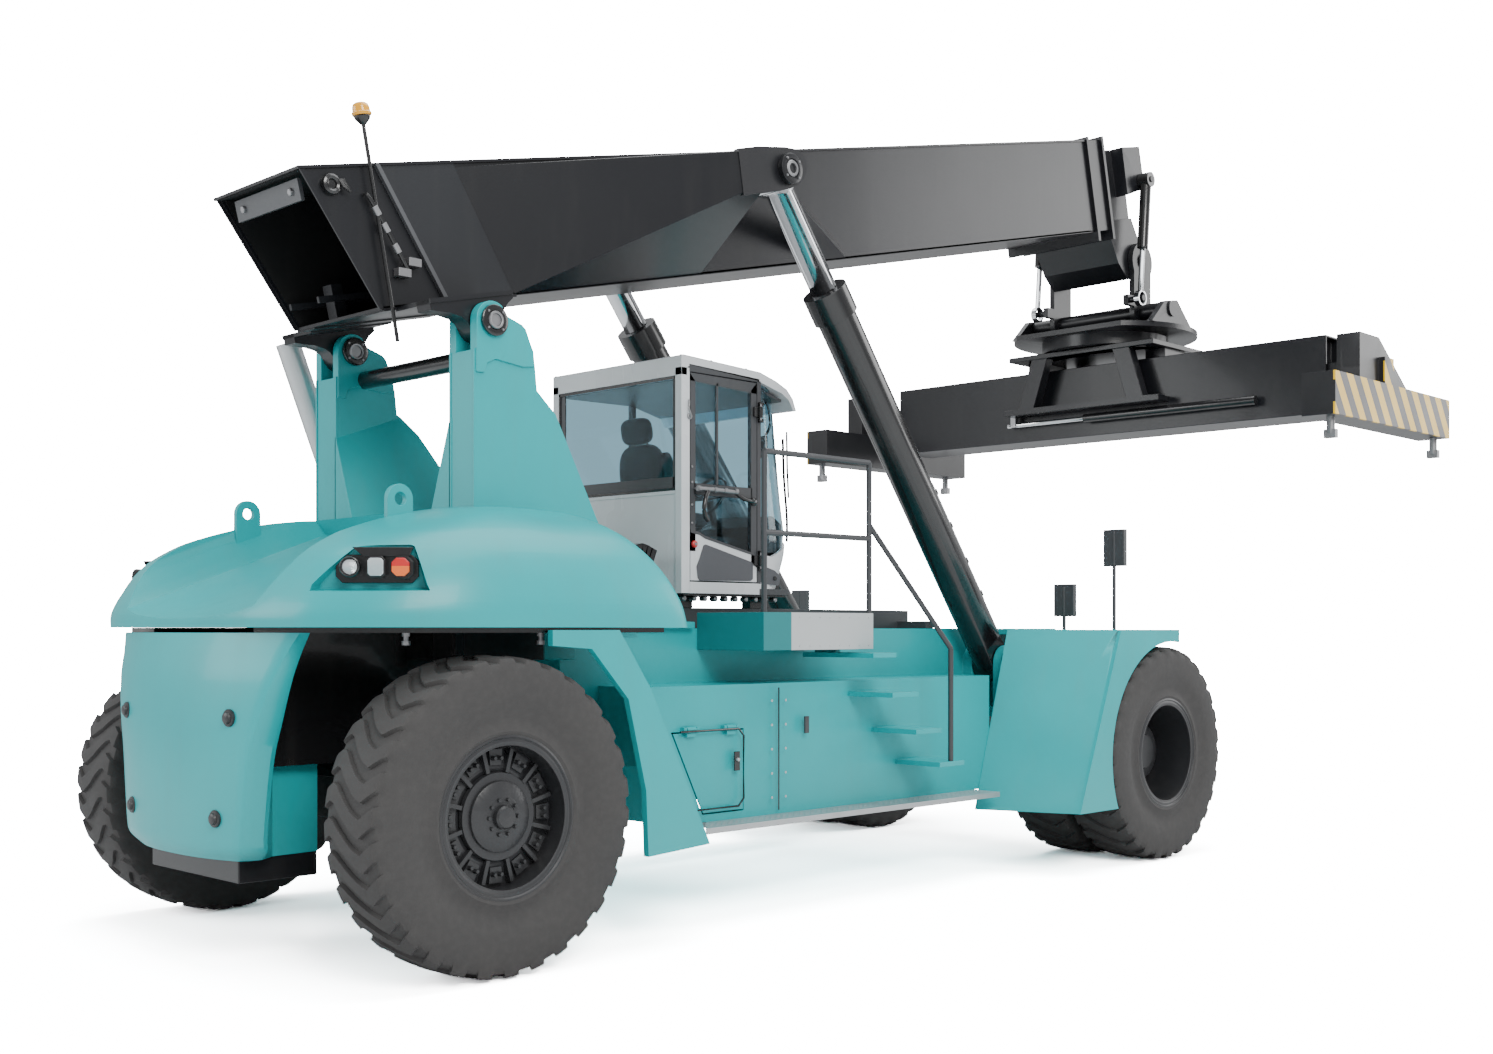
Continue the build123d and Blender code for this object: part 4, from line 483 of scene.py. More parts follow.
wheels = []
for end in ("front", "rear"):
    for side, facing in (("left", 1), ("right", -1)):
        low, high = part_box(f"{end}_{side}_tyre")
        middle = (low + high) / 2
        width = high.y - low.y
        offsets = (0.0,) if width < 0.7 else (-(width - 0.5) / 2, (width - 0.5) / 2)
        tyre = Piece()
        for shift in offsets:
            centre = (middle.x, middle.y + shift, middle.z)
            tyre.add(tyre_surface(centre, facing), grid_faces(BARS * len(bar_phase),
                                                              len(tyre_profile), True, True))
        tyre.done(f"{end}_{side}_tread", f"wheel_{end}_{side}", [rubber], angle=28,
                  stands_for=[f"{end}_{side}_tyre"])
        wheels.append((end, side, facing, middle, middle.y + facing * max(offsets)))

# Demountable wheels: a flanged rim held by wedge clamps on a cast hub.
for end, side, facing, middle, outer_y in wheels:
    body = f"wheel_{end}_{side}"
    dress(f"{end}_{side}_rim", rim_grey, 0.004)
    trim = Piece()
    axis = np.array((0, facing, 0))
    centre = np.array((middle.x, outer_y, middle.z))
    # lock ring and flange beads that stand on the rim's edge
    trim.turned([(0.205, 0.418), (0.205, 0.452), (0.214, 0.462), (0.226, 0.460), (0.230, 0.448),
                 (0.222, 0.440), (0.226, 0.424), (0.222, 0.412), (0.206, 0.405)], centre, axis, 96)
    if end == "rear":
        # clamp seats: ring of wedges between rim and hub, with ribs and studs
        trim.turned([(0.06, 0.235), (0.09, 0.24), (0.10, 0.27), (0.085, 0.32), (0.075, 0.40),
                     (0.05, 0.40), (0.05, 0.235)], centre, axis, 80)
        trim.turned([(0.10, 0.12), (0.105, 0.25), (0.13, 0.245), (0.135, 0.13)], centre, axis, 80)
        for k in range(12):
            a = 2 * np.pi * (k + 0.5) / 12
            out = outward(a)
            along = np.array((-math.sin(a), 0, math.cos(a)))
            trim.plate([(-0.012, 0.25), (0.012, 0.25), (0.012, 0.385), (-0.012, 0.385)],
                       centre + axis * 0.07, along, out, axis * 0.055)
            a = 2 * np.pi * k / 12
            out = outward(a)
            along = np.array((-math.sin(a), 0, math.cos(a)))
            trim.plate([(-0.038, 0.285), (0.038, 0.285), (0.046, 0.375), (-0.046, 0.375)],
                       centre + axis * 0.07, along, out, axis * 0.035)
            pair = [centre + axis * 0.10 + out * 0.325 + along * w for w in (-0.022, 0.022)]
            trim.bolts(pair, axis, 0.014, 0.035)
        trim.turned([(0.13, pinhole), (0.13, 0.135), (0.165, 0.128), (0.172, 0.115), (0.172, 0.085),
                     (0.15, 0.08), (0.15, 0.07), (0.20, 0.066), (0.212, 0.056), (0.215, pinhole)],
                    centre, axis, 64)
        trim.bolt_ring(centre + axis * 0.165, 0.1, 10, axis, 0.012, 0.022)
    else:
        # planetary hub deep in the dish, ringed by wheel nuts
        trim.turned([(-0.06, 0.20), (-0.045, 0.232), (-0.02, 0.232), (-0.008, 0.215), (0.0, 0.150),
                     (0.012, 0.140), (0.012, pinhole), (-0.06, pinhole)], centre, axis, 72)
        trim.turned([(-0.292, 0.25), (-0.280, 0.25), (-0.280, 0.37), (-0.292, 0.37)], centre, axis, 72)
        trim.bolt_ring(centre + axis * -0.285, 0.315, 20, axis, 0.020, 0.05)
        trim.bolt_ring(centre + axis * -0.018, 0.185, 12, axis, 0.010, 0.012)
    trim.done(f"{end}_{side}_rim_trim", body, [rim_grey], angle=32, slot_name="rim_grey")

# ---------------------------------------------------------------- counterweight
# One casting of the frame's width, bowed to the rear and bevelled along its sides,
# hung under the hood by four bolts whose grey caps stand on its face.
def eased(points, count):
    """Smooth line through the points: a Catmull-Rom curve, resampled to even steps of its length."""
    points = np.asarray(points, float)
    padded = np.concatenate([2 * points[:1] - points[1:2], points, 2 * points[-1:] - points[-2:-1]])
    t = np.linspace(0, 1, 16, endpoint=False)[None, :, None]
    a, b, c, d = (padded[k:len(padded) - 3 + k, None] for k in range(4))
    line = 0.5 * (2 * b + (c - a) * t + (2 * a - 5 * b + 4 * c - d) * t**2 + (3 * b - a - 3 * c + d) * t**3)
    line = np.concatenate([line.reshape(-1, points.shape[1]), points[-1:]])
    run = np.concatenate([[0], np.cumsum(np.linalg.norm(np.diff(line, axis=0), axis=1))])
    steps = np.linspace(0, run[-1], count)
    return np.stack([np.interp(steps, run, column) for column in line.T], 1)


def capped(piece, points, slot=0):
    """Adds rings of points (row, column, xyz) as a closed skin with both ends filled."""
    rows, columns = points.shape[:2]
    faces = list(grid_faces(rows, columns, False, True))
    faces += [tuple(range(columns))[::-1], tuple(range((rows - 1) * columns, rows * columns))]
    piece.add(points, faces, slot)


# level, half width, x of the middle, x of the edge, width of the bevel
cast_levels = eased([(0.640, 0.61, -1.084, -0.989, 0.08), (0.70, 0.685, -1.114, -1.024, 0.10),
                     (0.80, 0.705, -1.119, -1.034, 0.10), (1.20, 0.765, -1.119, -1.029, 0.10),
                     (1.43, 0.845, -1.114, -1.009, 0.09), (1.66, 0.935, -1.094, -0.969, 0.065),
                     (1.80, 0.99, -1.069, -0.924, 0.045), (1.925, 1.065, -1.039, -0.879, 0.02)], 60)
casting_rings = []
for z, half, x_mid, x_edge, bevel in cast_levels:
    bow = np.linspace(0, 1, 14)
    face = np.stack([x_mid + (x_edge - x_mid) * bow**2.4, half * bow], 1)
    flank = np.array([(x_edge + 0.008, half + 0.010), (x_edge + bevel * 0.5, half + bevel * 0.32),
                      (x_edge + bevel + 0.02, half + bevel * 0.55),
                      (x_edge + bevel + 0.05, half + bevel * 0.45), (-0.75, 0.56), (-0.45, 0.54)])
    right = np.concatenate([face, flank])
    ring = np.concatenate([right, (right * (1, -1))[::-1][:-1]])
    casting_rings.append(np.column_stack([rear_x + ring[:, 0], ring[:, 1], np.full(len(ring), z)]))
weight = Piece()
capped(weight, np.array(casting_rings))
for y, z in ((0.64, 1.45), (-0.64, 1.45), (0.52, 0.88), (-0.52, 0.88)):
    level = cast_levels[np.argmin(abs(cast_levels[:, 0] - z))]
    x_face = level[2] + (level[3] - level[2]) * (abs(y) / level[1])**2.4
    weight.knob([(-0.03, 0.05), (0.008, 0.05), (0.014, 0.044), (0.014, 0.034), (0.026, 0.030),
                 (0.030, 0.022)], at(x_face, y, z), (-1, 0.15 * y, 0), 28, 1)
weight.done("counterweight_casting", "chassis", [teal, rim_grey], angle=34, stands_for=["counterweight"],
            slot_name="teal_paint")

# ---------------------------------------------------------------- hood
# One moulded cover over the engine: two crowned domes, and between them a wide
# valley that falls to the rear. Lifting lugs stand on the crests.
hood_rear = eased([(-1.03, 1.955), (-1.032, 2.02), (-1.012, 2.08), (-0.962, 2.17), (-0.885, 2.285),
                   (-0.79, 2.38), (-0.67, 2.455), (-0.54, 2.515), (-0.30, 2.59), (-0.06, 2.645),
                   (0.20, 2.68), (0.45, 2.695)], 200)
hood_side = eased([(1.815, 1.955), (1.814, 2.06), (1.797, 2.15), (1.755, 2.27), (1.68, 2.41),
                   (1.57, 2.53), (1.42, 2.62), (1.20, 2.675), (0.90, 2.690), (0.0, 2.695)], 200)
hood_front = eased([(1.458, 1.955), (1.44, 2.02), (1.39, 2.15), (1.275, 2.338), (1.10, 2.515),
                    (0.925, 2.62), (0.76, 2.67), (0.45, 2.695)], 200)
hood_plan = eased([(-1, 0), (-0.997, 0.25), (-0.985, 0.44), (-0.955, 0.58), (-0.90, 0.70), (-0.77, 0.82),
                   (-0.61, 0.905), (-0.41, 0.965), (-0.15, 0.995), (0.1, 1.0), (0.5, 0.997),
                   (0.86, 0.985), (0.96, 0.955), (1.0, 0.88), (1.0, 0.5), (1.0, 0)], 130)
crown_x, hood_foot, hood_crown = 0.45, 1.955, 2.695
levels = np.concatenate([hood_rear[::4, 1], hood_side[::4, 1], [hood_foot, hood_crown]])
levels = np.unique(levels.round(4))
x_rear, x_front = np.interp(levels, *hood_rear.T[::-1]), np.interp(levels, *hood_front.T[::-1])
y_side = np.interp(levels, *hood_side.T[::-1])
loop = np.concatenate([hood_plan, (hood_plan * (1, -1))[::-1][1:-1]])
along, out = loop[None, :, 0], loop[None, :, 1]
behind = crown_x + along * (crown_x - x_rear[:, None])
before = crown_x + along * (x_front[:, None] - crown_x)
x = np.where(along < 0, behind, before)
y = out * y_side[:, None]
z = np.repeat(levels[:, None], len(loop), 1)

cover = Piece()
capped(cover, np.stack([rear_x + x, y, z], -1))
cover_solid = cover.done("engine_cover", "chassis", [teal, black], angle=40, stands_for=["hood"],
                         slot_name="teal_paint")

# the valley, cut along its floor's fall, and the nests for the lamps, cut with drafted plugs
nests = Piece()
section = [(-0.95, 0.90), (-0.91, 0.245), (-0.895, 0.20), (-0.80, 0.062), (-0.785, 0.045), (-0.60, 0.018),
           (-0.30, 0.0), (0.30, 0.0), (0.60, 0.018), (0.785, 0.045), (0.80, 0.062), (0.895, 0.20),
           (0.91, 0.245), (0.95, 0.90)]
nests.plate(section, at(-1.3, 0, 1.91), (0, 1, 0), (-0.351, 0, 0.936), np.array((0.936, 0, 0.351)) * 1.83)

def lamp_nest(sign):
    """Foot of a lamp nest under its middle, then the way along its mouth and the way in."""
    return at(-0.62, sign * 1.398, 0), np.array((0.751, sign * 0.66, 0)), np.array((0.66, -sign * 0.751, 0))


for sign in (1, -1):
    base, across, inward = lamp_nest(sign)
    mouth = np.array([(-0.345, 2.15), (0.315, 2.155), (0.30, 2.19), (0.235, 2.415), (0.21, 2.425),
                      (-0.10, 2.42), (-0.13, 2.405), (-0.34, 2.185)])
    middle = np.array([(0.0, 2.285)])
    rings = []
    for depth, size in ((-0.25, 1.08), (-0.03, 1.0), (0.12, 0.90), (0.13, 0.88)):
        spot = middle + (mouth - middle) * size
        rings.append(base + spot[:, :1] * across + np.array((0, 0, 1)) * spot[:, 1:] + inward * depth)
    capped(nests, np.array(rings))
plug = nests.done("nest_plug", "chassis", [teal])
cut = cover_solid.modifiers.new("nests", "BOOLEAN")
cut.operation, cut.object, cut.solver = "DIFFERENCE", plug, "EXACT"
hollow = bpy.data.meshes.new_from_object(cover_solid.evaluated_get(bpy.context.evaluated_depsgraph_get()))
cover_solid.modifiers.clear()
cover_solid.data = hollow
bpy.data.objects.remove(plug)
hollow.set_sharp_from_angle(angle=math.radians(40))

lamp_glass_tree = Finish("lamp_glass")
ribs = lamp_glass_tree.node("TexWave", {"bands_direction": "Z"},
                            {"Vector": lamp_glass_tree.place, "Scale": 60.0})["Fac"]
lamp_glass = lamp_glass_tree.shade(Base_Color=(0.80, 0.83, 0.86), Metallic=0.75,
                                   Roughness=0.10 + ribs * 0.12, Coat_Weight=1.0,
                                   Normal=lamp_glass_tree.bump(ribs, 0.5, 0.004))
stop_tree = Finish("stop_lens")
prism = stop_tree.node("TexVoronoi", {}, {"Vector": stop_tree.place, "Scale": 160.0})["Distance"]
upper = stop_tree.axis("Z") > 2.29
stop_lens = stop_tree.shade(Base_Color=stop_tree.mix(upper, (0.90, 0.16, 0.02), (0.62, 0.012, 0.010)),
                            Roughness=0.12, Coat_Weight=1.0,
                            Emission_Color=stop_tree.mix(upper, (0.9, 0.16, 0.02), (0.5, 0.01, 0.01)),
                            Emission_Strength=0.12, Normal=stop_tree.bump(prism, 0.5, 0.003))
cluster = Piece()


def chamfered(a0, a1, z0, z1, cut):
    """Rectangle with its four corners cut off."""
    return [(a0 + cut, z0), (a1 - cut, z0), (a1, z0 + cut), (a1, z1 - cut),
            (a1 - cut, z1), (a0 + cut, z1), (a0, z1 - cut), (a0, z0 + cut)]


for sign in (1, -1):
    base, across, inward = lamp_nest(sign)
    up = np.array((0, 0, 1.0))

    def spot(a, z, depth):
        return base + a * across + z * up + depth * inward

    cluster.plate(chamfered(-0.215, 0.235, 2.20, 2.355, 0.035), base + 0.11 * inward, across, up,
                  inward * 0.05, 0)
    cluster.plate([(-0.12, 2.395), (0.21, 2.395), (0.19, 2.345), (-0.06, 2.345)], base + 0.06 * inward,
                  across, up, inward * 0.06, 0)
    # round head lamp on a short barrel, turned a little outwards
    cluster.knob([(0, 0.05), (-0.09, 0.058), (-0.10, 0.054), (-0.10, 0.047), (-0.085, 0.046)],
                   spot(-0.125, 2.285, 0.11), inward, 32, 0)
    cluster.turned([(-0.084, pinhole), (-0.084, 0.046), (-0.094, 0.040), (-0.100, 0.022),
                    (-0.102, pinhole)], spot(-0.125, 2.285, 0.11), inward, 32, 1)
    cluster.plate(chamfered(-0.04, 0.065, 2.225, 2.345, 0.02), spot(0, 0, 0.035), across, up,
                  inward * 0.09, 0)
    cluster.plate(chamfered(-0.03, 0.055, 2.235, 2.335, 0.015), spot(0, 0, 0.022), across, up,
                  inward * 0.03, 1)
    cluster.plate(chamfered(0.095, 0.215, 2.22, 2.345, 0.03), spot(0, 0, 0.05), across, up,
                  inward * 0.07, 0)
    cluster.plate(chamfered(0.10, 0.195, 2.235, 2.335, 0.025), spot(0, 0, 0.018), across, up,
                  inward * 0.06, 2)
cluster.done("lamp_cluster", "chassis", [black, lamp_glass, stop_lens], edge=0.004,
             stands_for=["rear_lamps"], slot_name="lamp_plastic")

lugs = Piece()
turn = np.linspace(0, 2 * np.pi, 48, endpoint=False)
# outer edge seen from the hole: an arch above, straight sides and foot below
straight = np.minimum(0.088 / np.maximum(abs(np.cos(turn)), 1e-3), 0.205 / np.maximum(-np.sin(turn), 1e-3))
reach = np.where(np.sin(turn) > 0, 0.088, straight)
for sign in (1, -1):
    points = []
    for r, y in ((0.038, -0.02), (0.038, 0.02), (reach, 0.02), (reach, -0.02)):
        points.append(np.column_stack([rear_x - 0.126 + r * np.cos(turn), np.full(48, sign * 0.90 + y),
                                       2.712 + r * np.sin(turn)]))
    lugs.add(np.array(points), grid_faces(4, 48, True, True))
lugs.done("lifting_lugs", "chassis", [teal], angle=40, edge=0.005, slot_name="teal_paint")

# ---------------------------------------------------------------- under the hood
# Black sheet lining that closes the wheel arches off from the engine, the hood's
# return flange and the silver bolts that hold it.
flange_line = [(-0.90, 0.62), (-0.86, 1.02), (-0.62, 1.38), (-0.30, 1.62), (0.30, 1.76),
               (1.20, 1.76), (1.20, 0.62)]
lining = Piece()
for sign in (1, -1):
    lining.block(at(-0.86, sign * 0.62 - 0.008, 1.16), at(0.30, sign * 0.62 + 0.008, 1.95))
    lining.plate([(x, sign * y) for x, y in flange_line],
                 (rear_x, 0, 1.925), (1, 0, 0), (0, 1, 0), (0, 0, 0.029))
    lining.block(at(0.24, sign * 0.93 - 0.02, 1.70), at(0.30, sign * 0.93 + 0.02, 1.93))
    for x_bolt, y_bolt in ((-0.42, 1.42), (0.36, 1.62)):
        lining.turned([(0, pinhole), (0, 0.022), (-0.02, 0.022), (-0.02, 0.014), (-0.045, 0.014),
                       (-0.045, 0.024), (-0.068, 0.024), (-0.072, pinhole)],
                      at(x_bolt, sign * y_bolt, 1.925), (0, 0, 1), 12, 1)
lining.done("arch_lining", "chassis", [black, steel], angle=30, edge=0.003, slot_name="dark_frame")

# the engine: one plain block at its place, hidden by the hood and the lining
engine = Piece()
low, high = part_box("engine_block")
engine.block(low, (high.x, high.y, min(high.z, 2.02)))
engine.done("engine_mass", "chassis", [casting], edge=0.01, stands_for=["engine_block"],
            slot_name="dark_frame")

# ---------------------------------------------------------------- towers
# Two welded box towers that carry the boom's pivot between thick ears; their inner
# faces lean inwards below a crease, and a scoop of sheet runs down to the cab's deck.
tower = Piece()
ear_x, ear_z, ear_r = 0.53, 3.845, 0.122
ear_line = [(ear_x - ear_r, 3.519), (0.466, 3.519), (0.487, 3.580), (0.551, 3.612), (0.767, 3.587),
            (0.855, 3.60), (0.845, 3.693), (0.819, 3.745), (0.785, 3.825), (0.755, 3.85), (0.70, 3.868),
            (0.648, 3.885), (0.62, 3.90), (0.60, 3.944)]
ear_line += [(ear_x + ear_r * math.cos(a), ear_z + ear_r * math.sin(a))
             for a in np.linspace(1.0, np.pi, 14)]
shaft_line = [(0.405, 1.94), (0.405, 3.66), (0.825, 3.66), (0.858, 3.615), (0.877, 3.447), (1.025, 3.312),
              (1.484, 2.441), (1.56, 1.94)]
edge_line = [(0.397, 1.94), (0.397, 3.664), (0.832, 3.664), (0.866, 3.618), (0.884, 3.452),
             (1.032, 3.318), (1.492, 2.446), (1.568, 1.94)]
scoop = eased([(1.481, 2.52), (1.52, 2.43), (1.60, 2.29), (1.70, 2.17), (1.82, 2.075), (1.955, 2.018),
               (2.10, 2.0), (2.285, 1.995)], 26)
for sign in (1, -1):

    def slab(line, y_in, y_out):
        tower.side_plate(line, sign * y_in, sign * (y_out - y_in))

    slab(shaft_line, 0.672, 0.908)
    slab(edge_line, 0.906, 0.922)
    slab(edge_line, 0.658, 0.674)
    slab(ear_line, 0.866, 0.936)
    slab(ear_line, 0.646, 0.716)
    # inner skirt below the crease
    inner = []
    for x, z in ((0.397, 3.258), (0.905, 3.444), (1.025, 3.312), (1.484, 2.441), (1.53, 2.0), (0.397, 2.0)):
        below = max(0.0, 3.258 + 0.3686 * (x - 0.40) - z)
        inner.append((rear_x + x, sign * (0.664 - 0.355 * below), z))
    outer = [(px, sign * 0.68, pz) for px, _, pz in inner]
    tower.add(inner + outer, [(0, 1, 2), (0, 2, 3, 5), (3, 4, 5), (6, 8, 7), (6, 11, 9, 8), (9, 11, 10)]
              + [tuple(int(v) for v in face) for face in grid_faces(2, 6, False, True)])
    # scoop between the tower and the deck
    line = [(1.47, 1.95), (1.47, 2.53)] + [tuple(p) for p in scoop] + [(2.285, 1.95)]
    slab(line, 0.86, 0.90)
    slab([(1.44, 1.94), (1.44, 2.06), (1.66, 2.20), (2.28, 1.99), (2.28, 1.94)], 0.55, 0.58)
tower.done("boom_towers", "chassis", [teal], angle=30, edge=0.004, stands_for=["towers"],
           slot_name="teal_paint")

# pin covers on the ears: black disc, bright ring, locking bolts
pins = Piece()
for sign in (1, -1):
    for y in (0.936, -0.646):
        facing = sign if y > 0 else -sign
        middle, axis = at(ear_x, sign * abs(y), ear_z), (0, facing, 0)
        pins.knob([(0, 0.092), (0.012, 0.098), (0.026, 0.096), (0.030, 0.09), (0.030, 0.060),
                   (0.024, 0.056)], middle, axis, 48)
        pins.turned([(0.02, 0.040), (0.038, 0.040), (0.040, 0.044), (0.040, 0.052), (0.034, 0.056),
                     (0.02, 0.056)], middle, axis, 40, 1)
        pins.turned([(0.02, pinhole), (0.02, 0.040), (0.030, 0.038), (0.031, pinhole)], middle, axis, 32, 1)
        pins.bolts([middle + 0.075 * outward(a) for a in (0.8, 2.4, 3.9, 5.5)], axis, 0.010, 0.036, 1)
pins.done("pivot_pin_covers", "chassis", [black, steel], angle=35, slot_name="black_paint")

# ---------------------------------------------------------------- outer boom
# Box section welded from plate: open at the rear, flared out to the heads of the
# lift cylinders, with a double collar at the front that guides the inner boom.
lean = math.radians(13.4)


def boom_at(u, y, v):
    """Place given along the boom and square to it, from its pivot."""
    return at(ear_x + u * math.cos(lean) - v * math.sin(lean), y,
              ear_z + u * math.sin(lean) + v * math.cos(lean))


ahead = np.array((math.cos(lean), 0, math.sin(lean)))
above = np.array((-math.sin(lean), 0, math.cos(lean)))
hull = Piece()


def on_boom(line, y, depth, slot=0):
    """Plate of the hull from y to y + depth; its outline is (along the boom, square to it)."""
    hull.plate(line, boom_at(0, y, 0), ahead, above, np.array((0, depth, 0)), slot)


def boom_box(u0, u1, y0, y1, v0, v1, slot=0):
    """Box of the hull that lies along the boom."""
    y0, y1 = sorted((y0, y1))
    on_boom([(u0, v0), (u1, v0), (u1, v1), (u0, v1)], y0, y1 - y0, slot)


boom_foot, boom_top, boom_end = 0.175, 1.04, 7.83
eye_u, eye_v = 2.6218, 0.7787
rear_edge = [(-0.844, 1.03), (-0.486, 0.175)]
for sign in (1, -1):
    on_boom(rear_edge + [(boom_end, boom_foot), (boom_end, boom_top)], sign * 0.50, -sign * 0.020)
    # darker matte sheet lining each side wall inside: painted shade of the box's inside
    on_boom([(-0.82, 1.02), (-0.47, 0.19), (boom_end, 0.19), (boom_end, 1.02)], sign * 0.479,
            -sign * 0.004, 1)
    # edge strip round the mouth, and behind it the stiffener in pale grey, a painted highlight along the
    # bend
    on_boom([(-0.862, 1.03), (-0.504, 0.175), (-0.474, 0.175), (-0.832, 1.03)], sign * 0.495, sign * 0.012)
    on_boom([(-0.345, 1.035), (-0.018, 0.175), (0.012, 0.175), (-0.315, 1.035)], sign * 0.498,
            sign * 0.030, 2)
    # panel ahead of the stiffener in a lighter copy of the boom paint: painted light where the side turns
    # to the light
    on_boom([(-0.315, 1.035), (0.012, 0.175), (0.54, 0.175), (0.245, 1.035)], sign * 0.498, sign * 0.008, 3)
    # flare: a long wedge from the side out to the cylinder's head
    root = [(0.25, 1.005), (2.60, 1.005), (2.30, 0.180), (0.545, 0.180)]
    tip = [(2.15, 0.915), (2.34, 0.925), (2.32, 0.64), (2.13, 0.64)]
    ring = np.array([[boom_at(u, sign * 0.496, v) for u, v in root],
                     [boom_at(u, sign * 1.213, v) for u, v in tip]])
    capped(hull, ring)
    # head plates either side of the cylinder's eye, and the front strut
    for y0, y1 in ((0.885, 0.93), (1.17, 1.215)):
        on_boom([(2.12, 0.62), (2.50, 0.635), (2.60, 0.645), (2.70, 0.665), (2.79, 0.72), (2.835, 0.80),
                 (2.82, 0.86), (2.75, 0.915), (2.62, 0.935), (2.34, 0.945), (2.14, 0.935)], sign * y0,
                sign * (y1 - y0))
    boom_box(2.20, 2.36, sign * 0.93, sign * 1.17, 0.64, 0.93)
    strut_foot, strut_head = [(3.60, 0.18), (3.98, 0.18), (3.90, 0.30), (3.55, 0.30)], [(2.66, 0.70),
                                                                                        (2.80, 0.80),
                                                                                        (2.74, 0.88),
                                                                                        (2.60, 0.88)]
    ring = np.array([[boom_at(u, sign * 0.496, v) for u, v in strut_foot],
                     [boom_at(u, sign * 0.90, v) for u, v in strut_head]])
    capped(hull, ring)
    wing_eye, outwards = boom_at(eye_u, sign * 1.213, eye_v), (0, sign, 0)
    hull.knob([(0, 0.105), (0.02, 0.11), (0.042, 0.108), (0.046, 0.10), (0.046, 0.070), (0.038, 0.066)],
                wing_eye, outwards, 44)
    hull.turned([(0.03, 0.036), (0.050, 0.036), (0.052, 0.042), (0.052, 0.052), (0.046, 0.058),
                 (0.03, 0.058)], wing_eye, outwards, 36, 4)
    for a in (0.5, 2.1, 3.7, 5.3):
        bolt = boom_at(eye_u + 0.085 * math.cos(a), sign * 1.213, eye_v + 0.085 * math.sin(a))
        hull.bolts([bolt], outwards, 0.011, 0.056, 4)
    # bracket down to the pivot, waisted between its foot and its eye
    eye_curve = [(0.120 * math.cos(a), 0.120 * math.sin(a)) for a in np.linspace(-0.2, -math.pi + 0.2, 16)]
    on_boom([(-0.387, 0.178), (0.248, 0.178), (0.248, 0.128), (0.20, 0.100),
             (0.160, 0.062), (0.134, 0.012), (0.120, -0.02), *eye_curve, (-0.120, -0.02),
             (-0.136, 0.020), (-0.175, 0.052), (-0.245, 0.080), (-0.33, 0.098),
             (-0.387, 0.112)], sign * 0.722, sign * 0.136)
    on_boom([(-0.387, 0.178), (0.248, 0.178), (0.248, 0.150), (-0.387, 0.150)], sign * 0.50, sign * 0.37)
    on_boom([(-0.48, 0.178), (0.56, 0.178), (0.56, 0.160), (-0.48, 0.160)], sign * 0.30, sign * 0.21)
    # the pivot's pin
    turns = np.linspace(0, 2 * np.pi, 24, endpoint=False)
    on_boom([(0.07 * math.cos(a), 0.07 * math.sin(a)) for a in turns], sign * 0.65, sign * 0.28)
# top and bottom plates with their lips, each lined inside by a darker matte sheet, painted shade of the
# box's inside
boom_box(-0.875, boom_end, -0.515, 0.515, 1.028, 1.046)
on_boom([(-0.86, 1.024), (boom_end, 1.024), (boom_end, 1.028), (-0.86, 1.028)], -0.478, 0.956, 1)
boom_box(-0.488, boom_end, -0.500, 0.500, 0.170, 0.190)
boom_box(-0.46, boom_end, -0.478, 0.478, 0.190, 0.194, 1)
# collar: two frames round the inner boom, its pads and the web between them
for u in (7.79, 8.06):
    for sign in (1, -1):
        boom_box(u, u + 0.04, sign * 0.425, sign * 0.53, 0.08, 1.07)
    boom_box(u, u + 0.04, -0.43, 0.43, 0.975, 1.07)
    boom_box(u, u + 0.04, -0.43, 0.43, 0.08, 0.235)
for sign in (1, -1):
    boom_box(7.83, 8.06, sign * 0.475, sign * 0.50, boom_foot, boom_top)
    for v in (0.33, 0.55, 0.77):
        hull.bolts([boom_at(8.10, sign * 0.49, v)], ahead, 0.016, 0.014, 4)
boom_box(7.83, 8.06, -0.50, 0.50, 1.015, 1.04)
boom_box(7.83, 8.06, -0.50, 0.50, 0.175, 0.20)
# inside the mouth: bar with two bolts, stringers, hose clamp
boom_box(-0.80, -0.775, -0.36, 0.40, 0.87, 1.0, 2)
hull.bolts([boom_at(-0.80, 0.30, 0.935), boom_at(-0.80, -0.27, 0.935)], -ahead, 0.024, 0.018, 4)
for y in (0.42, 0.08):
    boom_box(-0.55, 1.5, y - 0.012, y + 0.012, 0.30, 0.34, 3)
boom_box(-0.36, -0.28, 0.20, 0.30, 0.20, 0.42, 3)
# pale grey: the bar's own colour inside the mouth, and on the stiffener a painted highlight
bright = paint("pale_grey_and_painted_highlight", (0.085, 0.088, 0.095), 0.35, dirtiness=0.15)
# darker matte paint of the linings inside the boom: painted shade
inside = paint("boom_inside_painted_shade", (0.0025, 0.0025, 0.003), 0.65, dirtiness=0.1)
# lighter copy of the boom paint: painted light on the panel ahead of the stiffener, also used on the
# stringers and hose clamp
lighter_and_lit_facet_paint = paint("boom_lighter_and_lit_facet", (0.011, 0.0125, 0.016), 0.5, dirtiness=0.1)
hull.done("outer_boom_hull", "boom", [anthracite, inside, bright, lighter_and_lit_facet_paint, steel], angle=30,
          edge=0.004, stands_for=["outer_boom"], slot_name="boom_paint")

